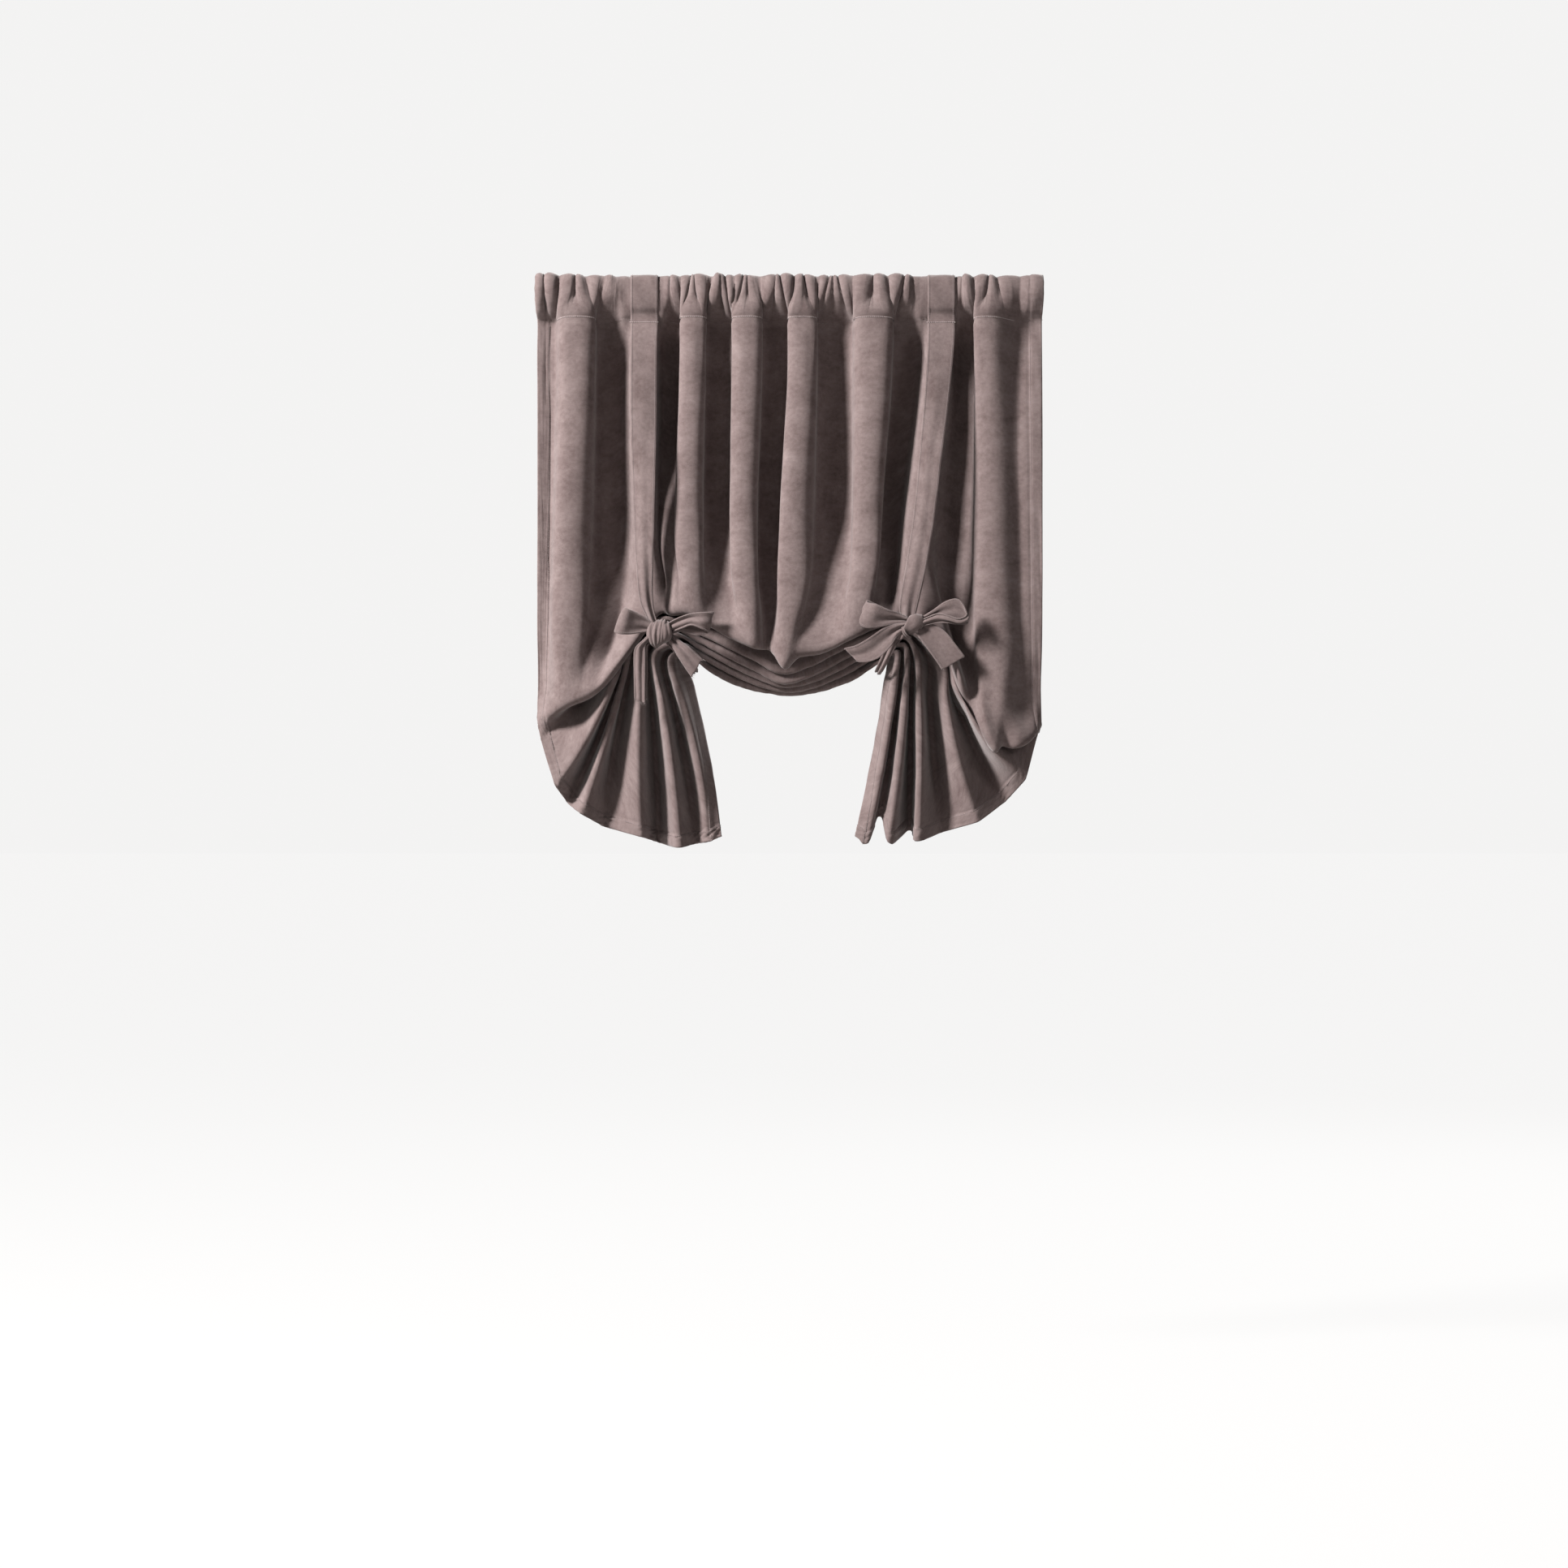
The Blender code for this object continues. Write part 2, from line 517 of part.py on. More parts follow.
def build_right_tie(collection, cutters):
    knot_place = placed(*RIGHT_KNOT)
    back_place = knot_place + Vector((-0.008, KNOT_DEPTH, -0.002))

    front_tie = ribbon("front_tie_right", strap_over_pocket(0.258, True) + [
        strap_stop(0.256, 0.030, 0.110, 0.0230),
        strap_stop(0.250, 0.040, 0.205, 0.0230, 0.002),
        strap_stop(0.236, 0.045, 0.290, 0.0225, 0.003, 0.004),
        strap_stop(0.222, 0.049, 0.390, 0.0220, 0.003, 0.004),
        strap_stop(0.208, 0.053, 0.480, 0.0200, 0.003),
        strap_stop(0.202, 0.056, 0.535, 0.0150, 0.002),
        strap_stop(0.206, 0.059, 0.565, 0.0100, 0.002),
        strap_stop(0.206, 0.060, 0.580, 0.0100, 0.002),
    ], collection)
    front_knot = knot("right_knot", knot_place, (0.0170, 0.0112, 0.0190), -0.45, cutters)
    outer_loop = ribbon("right_outer_loop", bow_stops(knot_place, (
        ((5, -6, -1), (5, 1, -1), 0),
        ((16, -12, 0), (17, -2, 0), -0.5),
        ((28, -19, 2), (29, -4, 1), -1),
        ((40, -28, 3), (42, -5, 2), -1.5),
        ((53, -32, 3), (56, -5, 3), -1),
        ((62, -27, 5), (66, -3, 5), 1),
        ((67, -13, 9), (68.3, -1, 7), 1),
        ((57, -7, 13), (60, 0, 8), 1),
        ((45, -10.5, 12), (42, -1.8, 8), 0.5),
        ((31, -13.5, 9), (29, -1, 6), 0.5),
        ((16, -7, 5.5), (16, 1, 5), 0),
        ((5, -3, 4), (5, 3, 4), 0),
    )), cutters)
    outer_tail = ribbon("right_outer_tail", bow_stops(knot_place, (
        ((0, 4, 0), (8, 0, -1), 0),
        ((8, 15, 2), (25, 6, -3), -1),
        ((16, 26, 5), (42, 11, 1), -1.5),
        ((27, 41, 6.5), (54, 24, 5), -1.5),
        ((37.3, 56.2, 5), (65.5, 39, 6), 0),
    )), cutters)
    joined(front_tie, (front_knot, outer_loop, outer_tail), False)

    back_tie = ribbon("back_tie_right", strap_over_pocket(0.258, False) + [
        strap_stop(0.256, -0.036, 0.110, 0.0230),
        strap_stop(0.250, -0.046, 0.230, 0.0220),
        strap_stop(0.240, -0.046, 0.350, 0.0190),
        strap_stop(0.225, -0.046, 0.470, 0.0140),
        strap_stop(0.200, -0.052, 0.565, 0.0090, 0, 0, 0.0030),
        strap_stop(0.170, -0.046, 0.622, 0.0065, 0, 0, 0.0045),
        strap_stop(0.154, -0.024, 0.653, 0.0040, 0, 0, 0.0035),
        strap_stop(0.150, 0.006, 0.658, 0.0040, 0, 0, 0.0035),
        strap_stop(0.157, 0.034, 0.645, 0.0045, 0, 0, 0.0060),
        strap_stop(0.174, 0.039, 0.610, 0.0065, 0, 0, 0.0060),
        (back_place - Vector((0.008, 0, -0.006)), back_place + Vector((0.008, 0, -0.006)), 0.0),
    ], collection, per_span=1)
    back_knot = knot("right_back_knot", back_place, (0.0130, 0.0050, 0.0130), -0.25, cutters)
    inner_loop = ribbon("right_inner_loop", bow_stops(knot_place, (
        ((-5, -3, -16), (-7, 5, -16), 0),
        ((-14, -12, -9), (-17, 0, -9), 0),
        ((-24, -17, 3), (-30, 2, 3), -1),
        ((-35, -21, 10), (-43, 4.5, 10), -0.5),
        ((-44, -24.5, 11), (-55, 4.5, 11), 1),
        ((-49, -26, 8), (-62.5, 1, 8), 1.5),
        ((-55, -28, 3), (-62.5, -5, 4), 1),
        ((-52, -29.5, 0), (-52, -6, 0), 0),
        ((-32, -20, -3), (-34, -4, -3), 0),
        ((-16, -11, -12), (-17, 1, -12), 0),
        ((-6, -3, -18), (-8, 4, -18), 0),
    )), cutters)
    inner_tail = ribbon("right_inner_tail", bow_stops(knot_place, (
        ((-3, 1, -17), (-8, 7, -17), 0),
        ((-17, 4, -10), (-15, 15, -10), 0),
        ((-34, 6, 3), (-27, 26, 3), -1.5),
        ((-52, 16, 7), (-40, 41, 8), -3),
        ((-68, 25, 7), (-53, 46, 9), -3),
        ((-83, 29, 6), (-65.5, 46.5, 7), -1.5),
    )), cutters)
    joined(back_tie, (back_knot, inner_loop, inner_tail), True)


# Velvet with its pile, a little lighter on the ties, where it stands up
def velvet(name, colour, pieces):
    material = bpy.data.materials.new(name)
    material.use_nodes = True
    shader = material.node_tree.nodes["Principled BSDF"]
    shader.inputs["Base Color"].default_value = colour
    shader.inputs["Roughness"].default_value = 0.85
    shader.inputs["Metallic"].default_value = 0.0
    for piece in pieces:
        piece.data.materials.append(material)


def main():
    for item in list(bpy.data.objects):
        bpy.data.objects.remove(item, do_unlink=True)
    collection = bpy.data.collections.new("tie_up_curtain")
    bpy.context.scene.collection.children.link(collection)
    cutters = bpy.data.collections.new("tie_pieces")
    bpy.context.scene.collection.children.link(cutters)
    build_panel(collection)
    build_left_tie(collection, cutters)
    build_right_tie(collection, cutters)
    for piece in list(collection.objects):
        velvet(piece.name + "_velvet", PANEL_COLOUR if piece.name == "curtain_panel" else TIE_COLOUR, [piece])


main()
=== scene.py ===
# The looks of a tie-up velvet curtain: panel, straps and bows, stitching, pale studio
import bpy
import math
import numpy as np
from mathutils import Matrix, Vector


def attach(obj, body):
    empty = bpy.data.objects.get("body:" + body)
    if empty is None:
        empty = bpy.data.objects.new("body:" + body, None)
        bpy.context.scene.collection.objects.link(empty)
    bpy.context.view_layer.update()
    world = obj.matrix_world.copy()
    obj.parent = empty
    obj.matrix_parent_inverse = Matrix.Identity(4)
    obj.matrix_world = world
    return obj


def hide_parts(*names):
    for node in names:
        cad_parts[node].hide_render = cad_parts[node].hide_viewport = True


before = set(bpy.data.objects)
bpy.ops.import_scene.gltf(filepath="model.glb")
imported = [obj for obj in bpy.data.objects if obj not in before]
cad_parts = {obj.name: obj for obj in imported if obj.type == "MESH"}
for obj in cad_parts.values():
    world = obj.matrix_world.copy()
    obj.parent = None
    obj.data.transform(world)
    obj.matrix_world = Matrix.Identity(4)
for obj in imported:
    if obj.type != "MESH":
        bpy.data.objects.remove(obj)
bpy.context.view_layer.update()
print("frame loaded:", sorted(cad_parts))


# Shader maths as Python expressions
class Wire:
    def __init__(self, tree, socket):
        self.tree = tree
        self.socket = socket

    def node(self, kind, settings=None, output=0, **inputs):
        made = self.tree.nodes.new(kind)
        for name, value in (settings or {}).items():
            setattr(made, name, value)
        for name, value in inputs.items():
            key = int(name[1:]) if name[0] == "i" and name[1:].isdigit() else name.replace("_", " ")
            if isinstance(value, Wire):
                self.tree.links.new(value.socket, made.inputs[key])
            else:
                made.inputs[key].default_value = value
        return Wire(self.tree, made.outputs[output])

    def maths(self, operation, *values):
        return self.node("ShaderNodeMath", {"operation": operation},
                         **{f"i{i}": value for i, value in enumerate(values)})

    def __add__(self, other):
        return self.maths("ADD", self, other)

    def __radd__(self, other):
        return self.maths("ADD", other, self)

    def __sub__(self, other):
        return self.maths("SUBTRACT", self, other)

    def __rsub__(self, other):
        return self.maths("SUBTRACT", other, self)

    def __mul__(self, other):
        return self.maths("MULTIPLY", self, other)

    def clamp(self):
        return self.maths("MINIMUM", self.maths("MAXIMUM", self, 0.0), 1.0)

    def noise(self, place, scale, detail, settings=None, **inputs):
        return self.node("ShaderNodeTexNoise", settings, Vector=place, Scale=scale, Detail=detail, **inputs)

    def into(self, node, name):
        self.tree.links.new(self.socket, node.inputs[name])

    def mixColour(self, dark, light):
        return self.node("ShaderNodeMix", {"data_type": "RGBA"}, 2, i0=self, i6=dark, i7=light)


def newMaterial(name):
    made = bpy.data.materials.new(name)
    made.use_nodes = True
    tree = made.node_tree
    tree.nodes.clear()
    end = tree.nodes.new("ShaderNodeOutputMaterial")
    shader = tree.nodes.new("ShaderNodeBsdfPrincipled")
    tree.links.new(shader.outputs[0], end.inputs[0])
    return made, shader, Wire(tree, None)


velvet = {
    "deep": (0.060, 0.039, 0.037, 1),       # where the pile lies away from the light
    "bright": (0.152, 0.116, 0.111, 1),     # where it stands up
    "sheenTint": (1.0, 0.96, 0.95, 1),
    "sheenWeight": 0.22,
    "sheenRoughness": 0.48,
    "patchScale": 26.0,                     # clouds of brushed pile, per metre
    "grainScale": 900.0,                    # the pile itself
    "bumpDistance": 0.0006,
    "creaseScale": 85.0,                    # gathers too fine for the mesh
    "creaseHeight": 7.0,
}


def velvetMaterial(name, lift=1.0):
    made, shader, wire = newMaterial(name)
    cloth = wire.node("ShaderNodeUVMap", {"uv_map": "cloth"})
    clouds = wire.noise(cloth, velvet["patchScale"], 6.0, Roughness=0.64, Distortion=0.25)
    streaks = wire.noise(cloth, velvet["patchScale"] * 6, 3.0, Roughness=0.6)
    grain = wire.noise(cloth, velvet["grainScale"], 2.0)
    # lighter pile at seam grooves, hems and strap edges: partly worn, crushed pile, partly a painted sheen
    # on the edges
    wornAndSheen = wire.node("ShaderNodeAttribute", {"attribute_name": "wear"}, 2)
    gathered = wire.node("ShaderNodeAttribute", {"attribute_name": "gathered"}, 2)
    narrow = wire.node("ShaderNodeMapping", None, 0, Vector=cloth, Scale=(1.0, 0.16, 1.0))
    creases = wire.noise(narrow, velvet["creaseScale"], 1.5, {"noise_dimensions": "2D"}, Roughness=0.5,
                         Distortion=0.6)
    nap = (0.5 + (clouds - 0.5) * 1.3 + (streaks - 0.5) * 0.7 + (grain - 0.5) * 0.5 + wornAndSheen * 0.3).clamp()
    # a lift below 1 gives a darker copy of the same velvet, which is painted shade
    deep = tuple(part * lift for part in velvet["deep"][:3]) + (1,)
    bright = tuple(part * lift for part in velvet["bright"][:3]) + (1,)
    nap.mixColour(deep, bright).into(shader, "Base Color")
    (0.92 - nap * 0.18).into(shader, "Roughness")
    bump = wire.node("ShaderNodeBump", None, 0, Strength=0.45, Distance=velvet["bumpDistance"],
                     Height=grain * 0.6 + streaks * 0.9 + creases * gathered * velvet["creaseHeight"])
    bump.into(shader, "Normal")
    shader.inputs["Sheen Weight"].default_value = velvet["sheenWeight"]
    shader.inputs["Sheen Roughness"].default_value = velvet["sheenRoughness"]
    shader.inputs["Sheen Tint"].default_value = velvet["sheenTint"]
    shader.inputs["Specular IOR Level"].default_value = 0.12
    return made


def threadMaterial(name, colour):
    made, shader, wire = newMaterial(name)
    place = wire.node("ShaderNodeTexCoord", None, 3)
    twist = wire.noise(place, 1400.0, 1.0)
    dark = tuple(part * 0.75 for part in colour) + (1,)
    twist.mixColour(dark, tuple(colour) + (1,)).into(shader, "Base Color")
    shader.inputs["Roughness"].default_value = 0.6
    return made


panelVelvet = velvetMaterial("panelVelvet")
# the ties' velvet is the same velvet darkened to 0.92: painted shade for the deeper shadows inside the bows
shadedTieVelvet = velvetMaterial("shadedTieVelvet", 0.92)
paleThread = threadMaterial("paleThread", (0.36, 0.30, 0.29))
clothThread = threadMaterial("clothThread", (0.150, 0.118, 0.114))
print("materials made")


# The panel
panel = {
    "rodRadius": 0.0125,
    "pocketEase": 0.0035,
    "seamDrop": 0.057,
    "flat": (1.17, 1.68),          # with the flap that makes the pocket
    "cloth": 0.0016,
    "columns": 288,
    "edgeColumns": 21,             # of these, how many lie close together at each side
    "foldDepth": 0.0290,
    "foldOverhang": 0.0085,
    "gatherDepth": 0.0130,
    "gathersPerFold": 2.9,
    "topPinch": 0.0060,            # how much narrower a fold is on the rod
    "seamDepth": 0.72,
    "seamRise": 0.0045,
    "turnRadius": 0.0042,
    "sideHem": 0.022,
    "bottomHem": 0.021,
    "hemStep": 0.002,              # over which a hem's edge rises
    "hemRise": 0.0009,
    "grooveWidth": 0.0022,
    "grooveDepth": 0.0014,
    "seamGrooveWidth": 0.0028,
    "seamGrooveDepth": 0.0020,
    "sidePucker": (0.0007, 0.0018),    # on the body, in the tails
    "seamPucker": 0.0006,
    "softRipple": 0.0010,
    "fineRipple": 0.00045,
    "headerCrease": 0.0011,
}

foldsAtSeam = (-0.430, -0.364, -0.299, -0.249, -0.203, -0.165, -0.122, -0.073, -0.022,
               0.021, 0.075, 0.144, 0.206, 0.257, 0.296, 0.342, 0.430)
foldsAtTies = (-0.430, -0.380, -0.299, -0.242, -0.214, -0.174, -0.123, -0.080, -0.035,
               0.003, 0.078, 0.132, 0.173, 0.214, 0.275, 0.353, 0.430)

# station, across, drop, forward
pouchEdge = (
    (0.0, -0.428, 0.742, 0.012),
    (1.0, -0.384, 0.716, 0.050),
    (2.0, -0.326, 0.689, 0.055),
    (2.5, -0.295, 0.653, 0.050),
    (3.0, -0.228, 0.563, 0.022),
    (4.0, -0.200, 0.556, 0.038),
    (5.0, -0.166, 0.558, 0.047),
    (6.0, -0.118, 0.588, 0.044),
    (7.0, -0.062, 0.614, 0.054),
    (8.0, -0.036, 0.618, 0.036),
    (8.5, -0.024, 0.630, 0.048),
    (9.0, -0.008, 0.650, 0.058),
    (9.5, 0.014, 0.629, 0.051),
    (10.0, 0.054, 0.623, 0.044),
    (11.0, 0.115, 0.594, 0.047),
    (12.0, 0.162, 0.574, 0.036),
    (13.0, 0.203, 0.563, 0.022),
    (13.4, 0.262, 0.604, 0.048),
    (13.7, 0.286, 0.664, 0.058),
    (14.1, 0.303, 0.712, 0.034),
    (14.6, 0.328, 0.758, 0.054),
    (14.9, 0.349, 0.791, 0.053),
    (15.1, 0.360, 0.781, 0.040),
    (15.4, 0.384, 0.783, 0.045),
    (15.7, 0.407, 0.773, 0.034),
    (16.0, 0.426, 0.750, 0.016),
)

# each turn of the pleats in a tail: gate across and drop, hem across and drop, bow inward
leftTail = (
    (-0.274, 0.618, -0.423, 0.773, 0.000),
    (-0.277, 0.598, -0.398, 0.851, 0.016),
    (-0.270, 0.598, -0.378, 0.881, 0.008),
    (-0.264, 0.599, -0.354, 0.899, 0.003),
    (-0.260, 0.603, -0.318, 0.920, -0.006),
    (-0.251, 0.612, -0.253, 0.938, -0.005),
    (-0.243, 0.624, -0.224, 0.948, 0.003),
    (-0.231, 0.636, -0.188, 0.956, 0.006),
    (-0.217, 0.645, -0.160, 0.950, 0.008),
    (-0.200, 0.652, -0.138, 0.946, 0.010),
    (-0.172, 0.655, -0.116, 0.937, 0.006),
)
rightTail = (
    (0.262, 0.630, 0.422, 0.764, 0.055),
    (0.267, 0.635, 0.400, 0.840, 0.020),
    (0.264, 0.638, 0.369, 0.877, 0.012),
    (0.259, 0.639, 0.320, 0.912, 0.011),
    (0.236, 0.635, 0.259, 0.931, 0.003),
    (0.217, 0.633, 0.217, 0.945, -0.004),
    (0.208, 0.634, 0.205, 0.928, 0.000),
    (0.200, 0.637, 0.170, 0.948, -0.003),
    (0.191, 0.642, 0.153, 0.905, -0.003),
    (0.183, 0.647, 0.129, 0.949, -0.004),
    (0.166, 0.650, 0.111, 0.937, -0.004),
)
# gate at the left, lowest drop, gate at the right, how round the curve hangs
swagCrests = (
    (-0.203, 0.567, 0.665, 0.157, 0.585, 1.00),
    (-0.198, 0.580, 0.679, 0.158, 0.597, 1.15),
    (-0.191, 0.594, 0.684, 0.158, 0.610, 1.35),
    (-0.181, 0.611, 0.690, 0.157, 0.623, 1.60),
    (-0.166, 0.633, 0.694, 0.152, 0.640, 2.10),
)


def mix(a, b, share):
    return a + (b - a) * share


def smooth(low, high, value):
    share = min(1.0, max(0.0, (value - low) / (high - low)))
    return share * share * (3 - 2 * share)


def smoothAll(low, high, values):
    share = np.clip((values - low) / (high - low), 0.0, 1.0)
    return share * share * (3 - 2 * share)


def hermite(start, end, startSlope, endSlope, span, u):
    return (start * (2 * u**3 - 3 * u**2 + 1) + startSlope * (span * (u**3 - 2 * u**2 + u))
            + end * (3 * u**2 - 2 * u**3) + endSlope * (span * (u**3 - u**2)))


def bell(x):
    return np.exp(-x ** 2)


def lengthAlong(line):
    return np.concatenate([[0], np.cumsum(np.linalg.norm(np.diff(line, axis=0), axis=1))])


def through(knots, points, at):
    # a smooth curve through points at the given knots
    last = len(knots) - 1
    i = 0
    while i < last - 1 and at > knots[i + 1]:
        i += 1

    def slope(j):
        before = max(0, j - 1)
        after = min(last, j + 1)
        return (points[after] - points[before]) / (knots[after] - knots[before])

    span = knots[i + 1] - knots[i]
    return hermite(points[i], points[i + 1], slope(i), slope(i + 1), span, (at - knots[i]) / span)


def placed(across, forward, drop):
    return Vector((across, -forward, -drop))


def pocketRing():
    radius = panel["rodRadius"] + panel["pocketEase"]
    lap = panel["seamDrop"] * 0.63
    return ((-0.0022, panel["seamDrop"]), (0.012, lap), (radius, 0.012), (0.8 * radius, -0.6 * radius),
            (0.0, -radius), (-0.8 * radius, -0.6 * radius), (-radius, 0.012), (-0.013, lap),
            (-0.004, panel["seamDrop"]))


def underStrap(station, inner, outer):
    return max(1 - smooth(inner, outer, abs(station - 3)), 1 - smooth(inner, outer, abs(station - 13)))


def foldWave(station):
    # -1 in a hollow, 1 on a crest
    wave = -math.cos(math.pi * station)
    return math.copysign(abs(wave) ** 0.85, wave)


def gatherPhase(station):
    # uneven widths
    return (station * panel["gathersPerFold"] + 0.45 * math.sin(1.9 * station)
            + 0.28 * math.sin(3.7 * station + 1))


def gatherWave(station, lap):
    # rounded puffs; the creases between them are wide at the rod and narrow to the seam
    return abs(math.sin(math.pi * gatherPhase(station))) ** mix(1.0, 0.5, lap)


def columnAbovePouch(station, pouchPoint):
    knots = range(len(foldsAtSeam))
    xSeam = through(knots, foldsAtSeam, station)
    xTies = through(knots, foldsAtTies, station)
    waveCrest = foldWave(station)
    lean = math.sin(2 * math.pi * station)
    pressed = underStrap(station, 0.65, 1.25)
    edge = min(1.0, min(station, 16 - station))
    bySide = 1 - smooth(0.2, 1.1, edge) if station > 8 else 1 - smooth(0.0, 0.85, edge)
    crest = mix(waveCrest, -0.35, bySide)
    fullness = 0.75 + 0.25 * math.sin(2.3 * station + 0.7)
    relief = mix(0.55, 0.28, smooth(1.0, 2.0, abs(station - 8))) \
        + 0.4 * (1 - smooth(0.3, 0.9, abs(station - 14)))
    gather = panel["gatherDepth"] * fullness * (1 - pressed)
    seamWave = panel["seamDepth"] * panel["foldDepth"] * crest * (1 - pressed)
    points = []
    ring = pocketRing()
    top = len(ring) // 2
    for place, (back, drop) in enumerate(ring):
        fromTop = abs(place - top) / top
        lap = smooth(0.5, 1.0, fromTop)
        # a fold is narrow where it is gathered on the rod and widens to the seam
        spread = mix(-panel["topPinch"], 1.25 * panel["foldOverhang"], smooth(0.15, 0.95, fromTop))
        point = Vector((xSeam + spread * lean * edge * (1 - pressed), back, -drop))
        if 0 < place < len(ring) - 1:
            size = gather * (1 - 0.75 * lap) * (1 - 0.45 * lap * max(crest, 0.0)) \
                * mix(0.45, 1.0, smooth(0, 0.4, fromTop))
            point += Vector((0.0, back, -drop)).normalized() * size * gatherWave(station, lap)
            point.x -= 0.22 * size * math.sin(2 * math.pi * gatherPhase(station))
        point.y -= seamWave * smooth(0.45, 1.0, fromTop)
        point.z += panel["seamRise"] * (crest - 0.2) * smooth(0.6, 1.0, fromTop) * (1 - pressed) * edge
        points.append(point)
    for share in (0.08, 0.22, 0.40, 0.60, 0.78, 0.91):
        drop = mix(panel["seamDrop"], -pouchPoint.z, share)
        x = mix(mix(xSeam, xTies, smooth(0.0, 0.8, share)), pouchPoint.x, smooth(0.7, 1.0, share))
        x += panel["foldOverhang"] * lean * edge * (1 - 0.8 * pressed) * (1 - smooth(0.75, 1.0, share)) \
            * mix(1.1, 1.0, smooth(0.0, 0.3, share))
        shallow = (1 - smooth(0.3, 0.9, abs(station - 4))) * smooth(0.35, 0.65, share)
        # the right side edge hangs further forward than the left one
        crest = mix(waveCrest, mix(-0.35, 0.55, smooth(0.0, 0.35, share)) if station > 8 else -0.35, bySide)
        depth = panel["foldDepth"] * mix(crest, 0.25, 0.8 * shallow) \
            * mix(panel["seamDepth"], 1.0, smooth(0.0, 0.4, share))
        forward = mix(0.002 + depth, 0.046 + relief * depth, smooth(0.55, 1.0, share))
        forward = mix(forward, 0.004 + 0.4 * depth, (1 - smooth(0.0, 1.0, edge)) * share)
        forward -= pressed * mix(0.012, 0.026, smooth(0.5, 0.9, share))
        forward += 0.25 * gather * gatherWave(station, 1.0) * (1 - smooth(0.0, 0.30, share))
        points.append(Vector((x, -forward, -drop)))
    return points


def tailPoint(tail, turn, share, side):
    gateX, gateDrop, hemX, hemDrop, bow = tail[turn - 1]
    gate = Vector((gateX, gateDrop))
    hem = Vector((hemX, hemDrop))
    along = (hem - gate).normalized()
    inward = Vector((-along.y, along.x)) * side
    return mix(gate, hem, share) + inward * bow * 4 * share * (1 - share)


def pleatTurn(turn):
    crest = turn % 2 == 0
    guide = []
    flatEnd = smooth(8, 10, turn)
    underTie = 0.018 if crest else -0.012   # how far forward the turn passes the ties

    def tailForward(share):
        if crest:
            deep = mix(0.022, 0.035, math.sin(math.pi * share)) - 0.002
        else:
            deep = -mix(0.010, 0.020, math.sin(math.pi * share))
        if turn == 1:
            # at the side edge the cloth runs on downwards with no lip
            deep = mix(deep, 0.014, smooth(0.38, 0.85, share))
        if turn == 2:
            deep += 0.015 * math.sin(math.pi * share)
        if turn == 7:
            deep -= 0.022 * share
        return mix(deep, 0.010 if crest else 0.005, flatEnd * share)

    for station, share in ((0.0, 1.0), (0.7, 0.74), (1.4, 0.48), (2.0, 0.22), (2.5, 0.0)):
        x, drop = tailPoint(leftTail, turn, share, -1)
        guide.append((station, x, tailForward(share), drop))
    inner = smooth(8, 11, turn)
    guide.append((3.0, -0.231 + 0.0022 * turn + 0.020 * inner, underTie, 0.556 + 0.0072 * turn))

    row = (turn - 2) / 2
    lowRow = min(4, max(0, int(row)))
    highRow = min(4, lowRow + 1)
    part = min(1.0, max(0.0, row - lowRow)) if 0 < row < 4 else 0.0
    leftX, leftDrop, lowDrop, rightX, rightDrop, power = (
        mix(a, b, part) for a, b in zip(swagCrests[lowRow], swagCrests[highRow]))
    deep = 0.018 - 0.0045 * (turn - 2) - (0.0 if crest else 0.020)
    lift = 0.0 if crest else 0.055
    if turn == 1:
        lift = 0.080
    if turn == 11:
        lift = 0.018
    middle = -0.001
    for station in (3.6, 4.6, 5.8, 7.0, 8.2, 9.4, 10.6, 11.6, 12.4):
        x = mix(leftX, rightX, (station - 3.6) / (12.4 - 3.6))
        if x < middle:
            reach = (middle - x) / (middle - leftX)
            gateDrop = leftDrop
        else:
            reach = (x - middle) / (rightX - middle)
            gateDrop = rightDrop
        openShare = max(0.0, 1 - reach ** 2)
        drop = mix(lowDrop, gateDrop, reach ** power) - lift * openShare
        forward = mix(underTie, deep, openShare ** 0.5)
        guide.append((station, x, forward, drop))

    guide.append((13.0, 0.206 - 0.0016 * turn - 0.014 * inner, underTie, 0.558 + 0.0066 * turn))
    for station, share in ((13.5, 0.0), (14.0, 0.22), (14.6, 0.48), (15.3, 0.74), (16.0, 1.0)):
        x, drop = tailPoint(rightTail, turn, share, 1)
        guide.append((station, x, tailForward(share), drop))
    return guide


def readGuide(guide, station):
    knots = [entry[0] for entry in guide]
    points = [Vector(entry[1:]) for entry in guide]
    return placed(*through(knots, points, station))


def clothColumn(station, turns):
    edge = readGuide([(s, x, forward, drop) for s, x, drop, forward in pouchEdge], station)
    points = columnAbovePouch(station, edge)
    path = [points[-1], edge] + [readGuide(turn, station) for turn in turns]
    tightness = underStrap(station, 0.3, 1.6)
    halfTurn = mix(panel["turnRadius"], 0.7 * panel["turnRadius"], tightness)
    for i in range(1, len(path) - 1):
        before = (path[i - 1] - path[i]).normalized()
        after = (path[i + 1] - path[i]).normalized()
        side = (after - before).normalized()
        size = 1.8 * halfTurn if i == 1 else halfTurn
        points.append(path[i] - side * size)
        bend = before + after
        points.append(path[i] - bend / max(bend.length, 1.0) * (0.4 if i == 1 else 0.3) * size)
        points.append(path[i] + side * size)
    points.append(mix(path[-2], path[-1], 0.55))
    points.append(path[-1])
    return points


